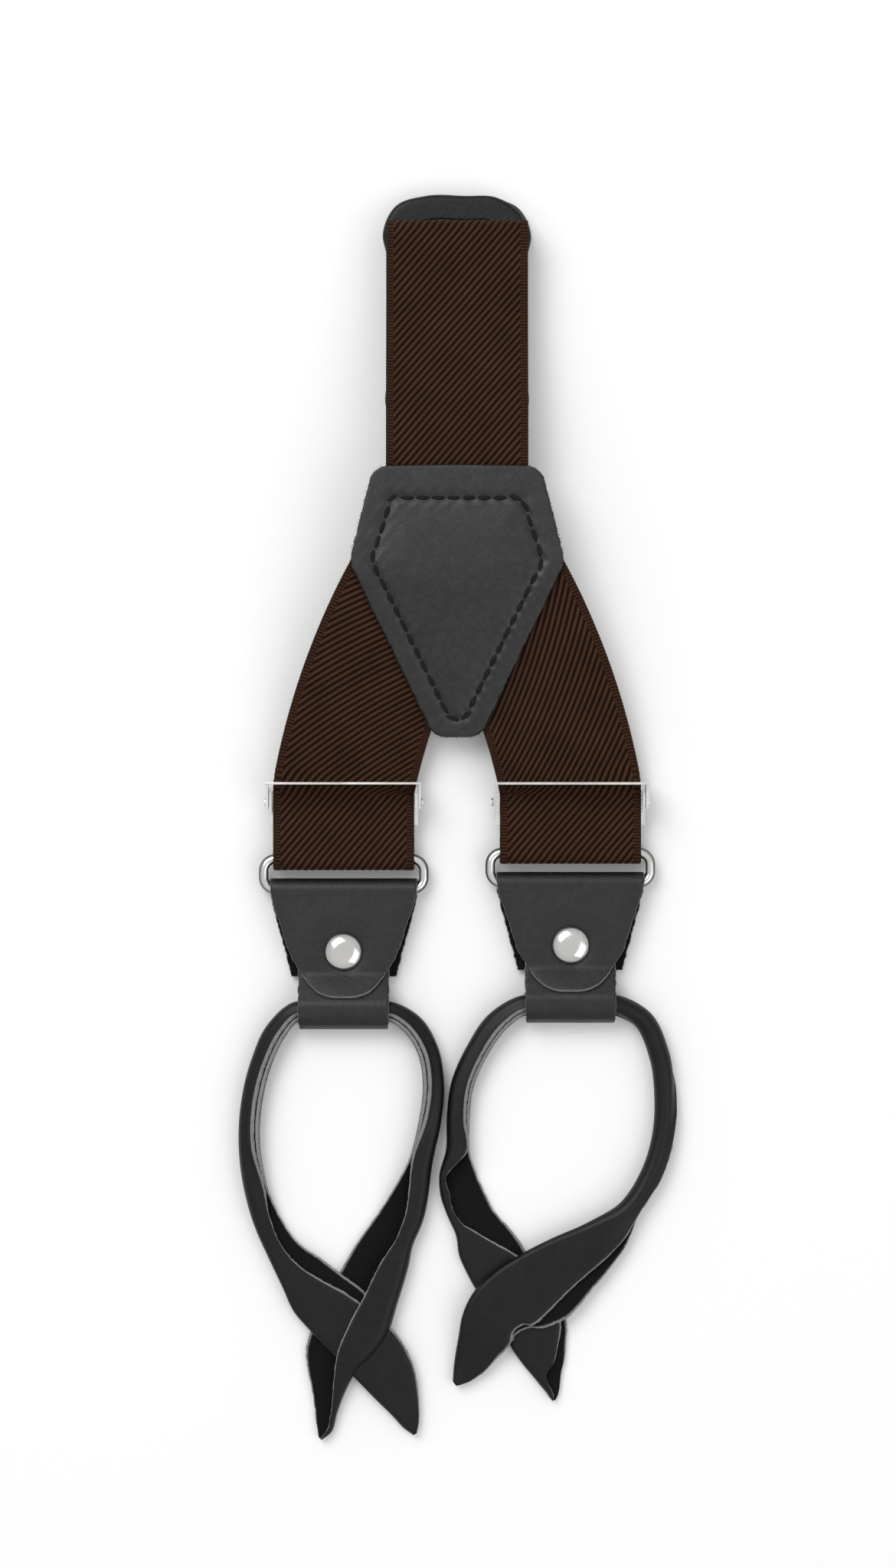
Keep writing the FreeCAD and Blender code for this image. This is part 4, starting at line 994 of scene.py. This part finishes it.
# %% [markdown]
# ## Adjusters
#
# The adjusters are pressed from sheet, and a press leaves every edge slightly round. The engineering shapes
# are taken as they are: each is copied, its triangles are merged back into flat faces, and a narrow bevel
# rounds it. That thin bright edge is what shows a metal pressing from above.

# %% Pressings with rounded edges
def pressed(name, node, body, slot, material, radius):
    """A copy of one engineering pressing, with its edges rounded."""
    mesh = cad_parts[node].data.copy()
    mesh.name = name
    mesh.materials.clear()
    work = bmesh.new()
    work.from_mesh(mesh)
    bmesh.ops.remove_doubles(work, verts=work.verts, dist=1e-6)
    bmesh.ops.dissolve_limit(work, angle_limit=math.radians(1), verts=work.verts, edges=work.edges)
    for layer in list(work.loops.layers.uv):
        work.loops.layers.uv.remove(layer)
    work.to_mesh(mesh)
    work.free()
    if mesh.attributes.get("custom_normal"):
        mesh.attributes.remove(mesh.attributes["custom_normal"])
    piece = object_from(name, mesh, material)
    bevel = piece.modifiers.new("rounded_edges", "BEVEL")
    bevel.width, bevel.segments, bevel.limit_method, bevel.angle_limit = radius * MM, 2, "ANGLE", math.radians(35)
    bevel.harden_normals = False
    bpy.context.view_layer.update()
    finished = bpy.data.meshes.new_from_object(piece.evaluated_get(bpy.context.evaluated_depsgraph_get()))
    finished.polygons.foreach_set("use_smooth", [False] * len(finished.polygons))
    piece.modifiers.clear()
    piece.data = finished
    return settle(piece, body, slot, node)


for end in ("left", "right"):
    for part, body, radius in (("frame", "adjuster", 0.14), ("pins", "adjuster", 0.1), ("lever", "lever", 0.14)):
        pressed(f"{end}_slide_{part}", f"{end}_adjuster_{part}", f"{end}_{body}", "nickel_plate", nickel_plate, radius)
print("two adjusters")

# %% [markdown]
# ## Rolled loops
#
# A button loop is one narrow strip of leather folded along its length with the suede inside, so two raw edges
# lie side by side, and that pair of grey lines is what tells a rolled loop from a cord. The strip passes
# through its leather end and opens out flat at both tips, which cross. A section is drawn as a U with
# thick walls: a fold, two legs and two cut edges. Key sections along the loop say where the fold lies, which
# way each leg points and how far it reaches, and the sections between them are blended. Sweeping a plain tube
# would miss the edges, the twist and the flat tips.

# %% A strip folded along its length
LOOP_THICK = 1.24
UP = np.array([0.0, 0.0, 1.0])


def roll_keys(places, slants, side, sizes=(2.7, 3.0, 1.4)):
    """Key sections of a rolled stretch, from the strip outwards. A slant turns its opening up from level."""
    places = np.array(places, float)
    travel = unit(np.gradient(places[:, :2], axis=0)) * side
    inward = np.stack([travel[:, 1], -travel[:, 0], 0 * travel[:, 0]], -1)
    slant = np.radians(np.array(slants, float))[:, None]
    opening = inward * np.cos(slant) + UP * np.sin(slant)
    across = UP * np.cos(slant) - inward * np.sin(slant)
    radius, reach, lip = sizes
    rest = np.tile([radius, reach, reach, lip, radius], (len(places), 1))
    rest[:2, :3] = 2.6, 2.3, 2.3                 # slimmer inside its strip
    rest[:2, 4] = 2.6
    return np.hstack([places, opening, opening, across, rest])


def ear_keys(ear, heights, radii, turned_over=False):
    """Key sections of an opened tip. Each row of the ear is x, y of its fold, upper cut edge and lower one."""
    rows = []
    for places, height, radius in zip(ear, heights, radii):
        fold, upper, lower = (np.array([*places[k:k + 2], height]) for k in (0, 2, 4))
        opening = unit((upper + lower) / 2 - fold)
        nearest = min(np.linalg.norm(upper - fold), np.linalg.norm(lower - fold))
        depth = min(radius, 0.45 * nearest + 0.05)
        centre = fold + opening * depth
        legs = (lower, upper) if turned_over else (upper, lower)
        ways = [unit(leg - centre) if np.linalg.norm(leg - centre) > 0.3 else opening for leg in legs]
        reaches = [max(float(np.linalg.norm(leg - centre)), 0.15) for leg in legs]
        rows.append(np.r_[centre, ways[0], ways[1], -UP if turned_over else UP, radius, reaches, radius, depth])
    return np.array(rows)


def blended(keys, spacing=0.85):
    """Sections between the key sections, on a smooth track through them."""
    reach = np.r_[0, np.cumsum(np.linalg.norm(np.diff(keys[:, :3], axis=0), axis=1))]
    slope = np.gradient(keys, reach, axis=0)
    s = np.linspace(0, reach[-1], int(reach[-1] / spacing) + 1)
    i = np.clip(np.searchsorted(reach, s, side="right") - 1, 0, len(keys) - 2)
    gap = (reach[i + 1] - reach[i])[:, None]
    t = (s - reach[i])[:, None] / gap
    rows = ((2 * t ** 3 - 3 * t ** 2 + 1) * keys[i] + (t ** 3 - 2 * t ** 2 + t) * gap * slope[i]
            + (3 * t ** 2 - 2 * t ** 3) * keys[i + 1] + (t ** 3 - t ** 2) * gap * slope[i + 1])
    return s, rows


def folded_loop(name, under, over, seed):
    """A loop from the key sections of its two halves, each listed from the strip outwards."""
    s, rows = blended(np.vstack([under[::-1], over]))
    centre, way_a, way_b, across = rows[:, :3], unit(rows[:, 3:6]), unit(rows[:, 6:9]), unit(rows[:, 9:12])
    radius, reach_a, reach_b, lip, bulge = (np.maximum(rows[:, k], 0.12) for k in range(12, 17))
    back = unit(way_a + way_b)
    shares = np.array([1.0, 0.94, 0.86, 0.74, 0.6, 0.45, 0.3, 0.15, 0.0])
    turn = np.radians(np.linspace(90, -90, 13)[1:-1])
    rough = [0.13 * wander(s, pitch, seed + k) for k, pitch in enumerate((0.9, 1.0, 1.1, 0.8))]
    sections, cuts, fleshes = [], [], []

    def leg(way, reach, sign, share, depth, jitter=0.0):
        eased = share * share * (3 - 2 * share)
        outer = lip + (radius - lip) * (1 - eased) - (0.42 if share == 1.0 and depth == 0 else 0)
        height = np.maximum(outer - depth, 0.06)
        sections.append(centre + way * (reach * share + jitter)[:, None] + across * (sign * height)[:, None])
        cuts.append(1.0 if share == 1.0 else 0.0)
        fleshes.append(1.0 if depth > LOOP_THICK / 2 else 0.0)

    def arc(size, out, flesh):
        for angle in turn if not flesh else turn[::-1]:
            sections.append(centre - back * (out * math.cos(angle))[:, None]
                            + across * (size * math.sin(angle))[:, None])
            cuts.append(0.0)
            fleshes.append(flesh)

    for share in shares:
        leg(way_a, reach_a, 1, share, 0, rough[0] if share == 1.0 else 0.0)
    arc(radius, bulge, 0.0)
    for share in shares[::-1]:
        leg(way_b, reach_b, -1, share, 0, rough[1] if share == 1.0 else 0.0)
    leg(way_b, reach_b, -1, 1.0, LOOP_THICK / 2, 0.1 + rough[2])
    for share in shares:
        leg(way_b, reach_b, -1, share, LOOP_THICK, rough[2] if share == 1.0 else 0.0)
    arc(np.maximum(radius - LOOP_THICK, 0.06), np.maximum(bulge - LOOP_THICK, 0.06), 1.0)
    for share in shares[::-1]:
        leg(way_a, reach_a, 1, share, LOOP_THICK, rough[3] if share == 1.0 else 0.0)
    leg(way_a, reach_a, 1, 1.0, LOOP_THICK / 2, 0.1 + rough[3])
    points = np.stack(sections, 1)
    points[..., 2] = np.maximum(points[..., 2], 0.03)
    width = np.cumsum(np.r_[0, np.full(points.shape[1] - 1, 0.62)])
    flat = np.stack(np.broadcast_arrays(width[None, :], s[:, None], 0.0), -1)
    marks = {"cut": np.broadcast_to(cuts, points.shape[:2]), "flesh": np.broadcast_to(fleshes, points.shape[:2])}
    return close_rows(name, points, rolled_leather, flat, **marks)


# %% The left loop and its crossed ears
LEFT_UNDER = [
    (-33.2, -48.1, 4.35), (-40.2, -48.1, 4.35), (-44.7, -52.3, 3.6), (-48.7, -60.7, 3.1), (-51.2, -71.1, 3.0),
    (-51.7, -82.1, 3.0), (-50.5, -91.6, 2.9)]
LEFT_OVER = [
    (-23.2, -48.1, 4.35), (-16.2, -48.1, 4.35), (-11.2, -51.1, 3.6), (-7.3, -57.6, 3.1), (-5.9, -65.6, 3.0),
    (-6.6, -75.1, 3.0), (-8.6, -84.6, 3.0)]
LEFT_EAR_UNDER = [
    (-50.5, -101.5, -46.4, -100.0, -44.2, -99.5), (-47.0, -109.4, -43.1, -107.2, -39.6, -105.9),
    (-43.5, -116.8, -38.7, -111.8, -33.9, -109.8), (-40.9, -122.5, -33.9, -114.8, -28.7, -113.7),
    (-36.5, -127.7, -27.8, -118.1, -23.4, -117.6), (-30.4, -134.2, -21.2, -122.9, -19.1, -123.8),
    (-24.1, -140.8, -14.3, -129.4, -14.7, -130.7), (-20.4, -144.7, -11.0, -136.0, -12.1, -137.3),
    (-16.4, -148.7, -9.8, -142.5, -10.8, -143.4), (-12.9, -152.4, -9.5, -149.5, -10.1, -150.0),
    (-11.0, -153.7, -10.1, -153.2, -10.3, -153.4)]
LEFT_EAR_OVER = [
    (-8.6, -100.6, -13.2, -99.7, -19.9, -98.9), (-11.0, -106.3, -15.4, -105.0, -24.3, -105.0),
    (-12.1, -111.5, -19.1, -110.7, -28.2, -111.5), (-14.7, -120.3, -23.2, -119.0, -32.2, -119.0),
    (-17.8, -129.4, -26.9, -125.9, -35.9, -126.4), (-21.2, -133.8, -29.5, -132.1, -37.6, -132.1),
    (-24.7, -137.3, -30.4, -137.3, -37.4, -136.0), (-27.8, -143.0, -30.9, -143.4, -36.2, -142.1),
    (-30.0, -148.7, -31.5, -148.7, -35.3, -148.2), (-31.3, -153.0, -32.2, -152.1, -34.9, -152.1),
    (-33.6, -154.8, -34.0, -154.7, -34.4, -154.5)]
left_loop = folded_loop(
    "left_rolled_loop",
    np.vstack([roll_keys(LEFT_UNDER, [58, 58, 60, 62, 62, 55, 25], -1),
               ear_keys(LEFT_EAR_UNDER, [2.7, 2.65, 2.65, 2.65, 2.65, 2.65, 2.6, 2.1, 1.6, 1.35, 1.3],
                        [1.8, 1.4, 1.2, 1.2, 1.2, 1.2, 1.2, 1.22, 1.25, 1.25, 1.25])]),
    np.vstack([roll_keys(LEFT_OVER, [58, 58, 60, 62, 60, 50, 25], 1),
               ear_keys(LEFT_EAR_OVER, [2.75, 2.65, 2.65, 2.65, 2.65, 2.65, 2.5, 2.0, 1.5, 1.35, 1.35],
                        [2.6, 2.6, 2.6, 2.6, 2.6, 2.6, 2.4, 1.9, 1.45, 1.3, 1.3])]), 61)
settle(left_loop, "left_loop", "rolled_leather", "left_button_loop")
print("left loop", len(left_loop.data.polygons))

# %% The right loop and its crossed ears
RIGHT_UNDER = [
    (23.2, -46.5, 4.35), (16.2, -46.5, 4.35), (10.7, -49.7, 3.6), (4.7, -58.0, 3.1), (1.1, -66.5, 3.0),
    (0.1, -74.5, 3.0), (-0.1, -82.5, 3.0)]
RIGHT_OVER = [
    (33.2, -46.5, 4.35), (40.2, -46.5, 4.35), (45.8, -49.5, 3.6), (50.3, -58.5, 3.1), (51.7, -68.5, 3.0),
    (51.3, -78.0, 3.0), (48.7, -87.5, 3.2), (42.7, -97.0, 3.6)]
RIGHT_EAR_UNDER = [
    (-4.5, -89.4, -2.9, -89.4, 5.0, -89.4), (-4.1, -94.1, -1.9, -93.5, 7.2, -94.1),
    (-2.7, -98.3, -1.0, -97.7, 8.9, -97.5), (-0.6, -103.4, 1.1, -100.7, 11.2, -100.3),
    (0.4, -108.8, 4.6, -103.0, 13.0, -102.2), (2.3, -113.1, 9.3, -105.7, 15.1, -104.9),
    (4.6, -117.3, 14.3, -108.4, 17.1, -108.0), (8.5, -122.8, 19.4, -112.7, 21.7, -112.3),
    (12.0, -127.4, 23.7, -118.1, 25.2, -118.9), (13.4, -131.7, 25.8, -125.1, 27.3, -125.5),
    (16.3, -136.0, 25.4, -130.2, 27.2, -130.2), (19.8, -140.2, 24.0, -136.0, 26.7, -135.6),
    (22.5, -143.7, 23.0, -141.4, 25.7, -141.0), (23.7, -145.1, 23.7, -145.0, 24.5, -145.1)]
RIGHT_EAR_OVER = [
    (31.8, -100.7, 34.1, -111.7, 36.1, -114.2), (24.0, -104.1, 27.9, -117.3, 30.3, -121.2),
    (16.3, -108.0, 22.5, -122.8, 26.8, -124.5), (8.5, -113.1, 18.6, -125.9, 20.9, -126.7),
    (4.6, -117.0, 16.3, -125.8, 17.8, -126.7), (2.5, -120.4, 14.1, -127.4, 14.7, -128.2),
    (1.1, -124.3, 13.2, -130.5, 13.4, -130.5), (0.4, -128.6, 10.1, -134.0, 9.7, -133.3),
    (-0.4, -133.3, 7.0, -137.5, 6.6, -136.7), (-0.9, -137.5, 3.1, -140.2, 2.9, -139.5),
    (-1.1, -140.2, -0.2, -141.3, -0.4, -141.0)]
right_loop = folded_loop(
    "right_rolled_loop",
    np.vstack([roll_keys(RIGHT_UNDER, [50, 50, 50, 48, 45, 40, 20], -1),
               ear_keys(RIGHT_EAR_UNDER, [2.4, 1.9, 1.5] + [1.35] * 11, [2.2, 1.7, 1.4] + [1.3] * 11)]),
    np.vstack([roll_keys(RIGHT_OVER, [0, -25, -60, -90, -150, -175, -180, -180], 1, (2.6, 2.8, 1.4)),
               ear_keys(RIGHT_EAR_OVER, [4.15, 4.2, 4.2, 4.2, 4.2, 4.1, 3.8, 3.1, 2.2, 1.6, 1.4],
                        [1.6, 1.35] + [1.3] * 9, turned_over=True)]), 71)
settle(right_loop, "right_loop", "rolled_leather", "right_button_loop")
print("right loop", len(right_loop.data.polygons))

# %% The back loop, put away under the column
BACK_ROLL = [(5.0, 0.0, 4.35), (12.0, 0.0, 4.35), (15.0, -4.4, 3.6), (14.4, -12.0, 3.0), (14.3, -24.0, 2.95)]
BACK_FLAT = [                            # x, y, height under, height over, width, ply
    (14.3, -35.0, 2.5, 3.4, 6.2, 1.6), (14.2, -41.0, 2.1, 3.9, 6.2, 1.45), (15.3, -46.8, 1.8, 4.5, 6.4, 1.38),
    (13.2, -51.4, 1.65, 4.75, 6.5, 1.36),
    (7.5, -53.2, 1.65, 4.75, 6.5, 1.36), (-2.0, -53.2, 1.65, 4.75, 6.5, 1.36), (-9.0, -52.9, 1.65, 4.75, 6.5, 1.36),
    (-13.4, -50.0, 1.65, 4.8, 6.5, 1.36), (-13.4, -43.5, 1.62, 5.1, 6.5, 1.33), (-9.0, -36.5, 1.5, 5.3, 7.0, 1.3),
    (-6.0, -27.0, 1.4, 5.2, 8.0, 1.27), (-4.0, -17.0, 1.35, 5.0, 5.0, 1.25)]


def back_half(side):
    """One half of the back loop: rolled beside the strip, pressed flat in the arch and in its hidden ear."""
    rolls = [(side * x, y, z) for x, y, z in BACK_ROLL]
    flats = [(side * x, y, low if side < 0 else high) for x, y, low, high, _, _ in BACK_FLAT]
    keys = roll_keys(rolls + flats, [0] * (len(rolls) + len(flats)), side, (2.7, 2.9, 1.4))
    for key, (_, _, _, _, width, ply) in zip(keys[len(rolls):], BACK_FLAT):
        key[:3] -= key[3:6] * (width / 2 - ply)
        key[12:] = ply, width - ply, width - ply, ply, ply
    placed = keys.copy()
    placed[:, :2] = -keys[:, :2]
    placed[:, 1] += END_Y["back"] - ROLL_Y
    for column in (3, 6, 9):
        placed[:, column:column + 2] = -keys[:, column:column + 2]
    return placed


back_loop = folded_loop("back_rolled_loop", back_half(-1), back_half(1), 83)
settle(back_loop, "back_loop", "rolled_leather", "back_button_loop")
print("back loop", len(back_loop.data.polygons))
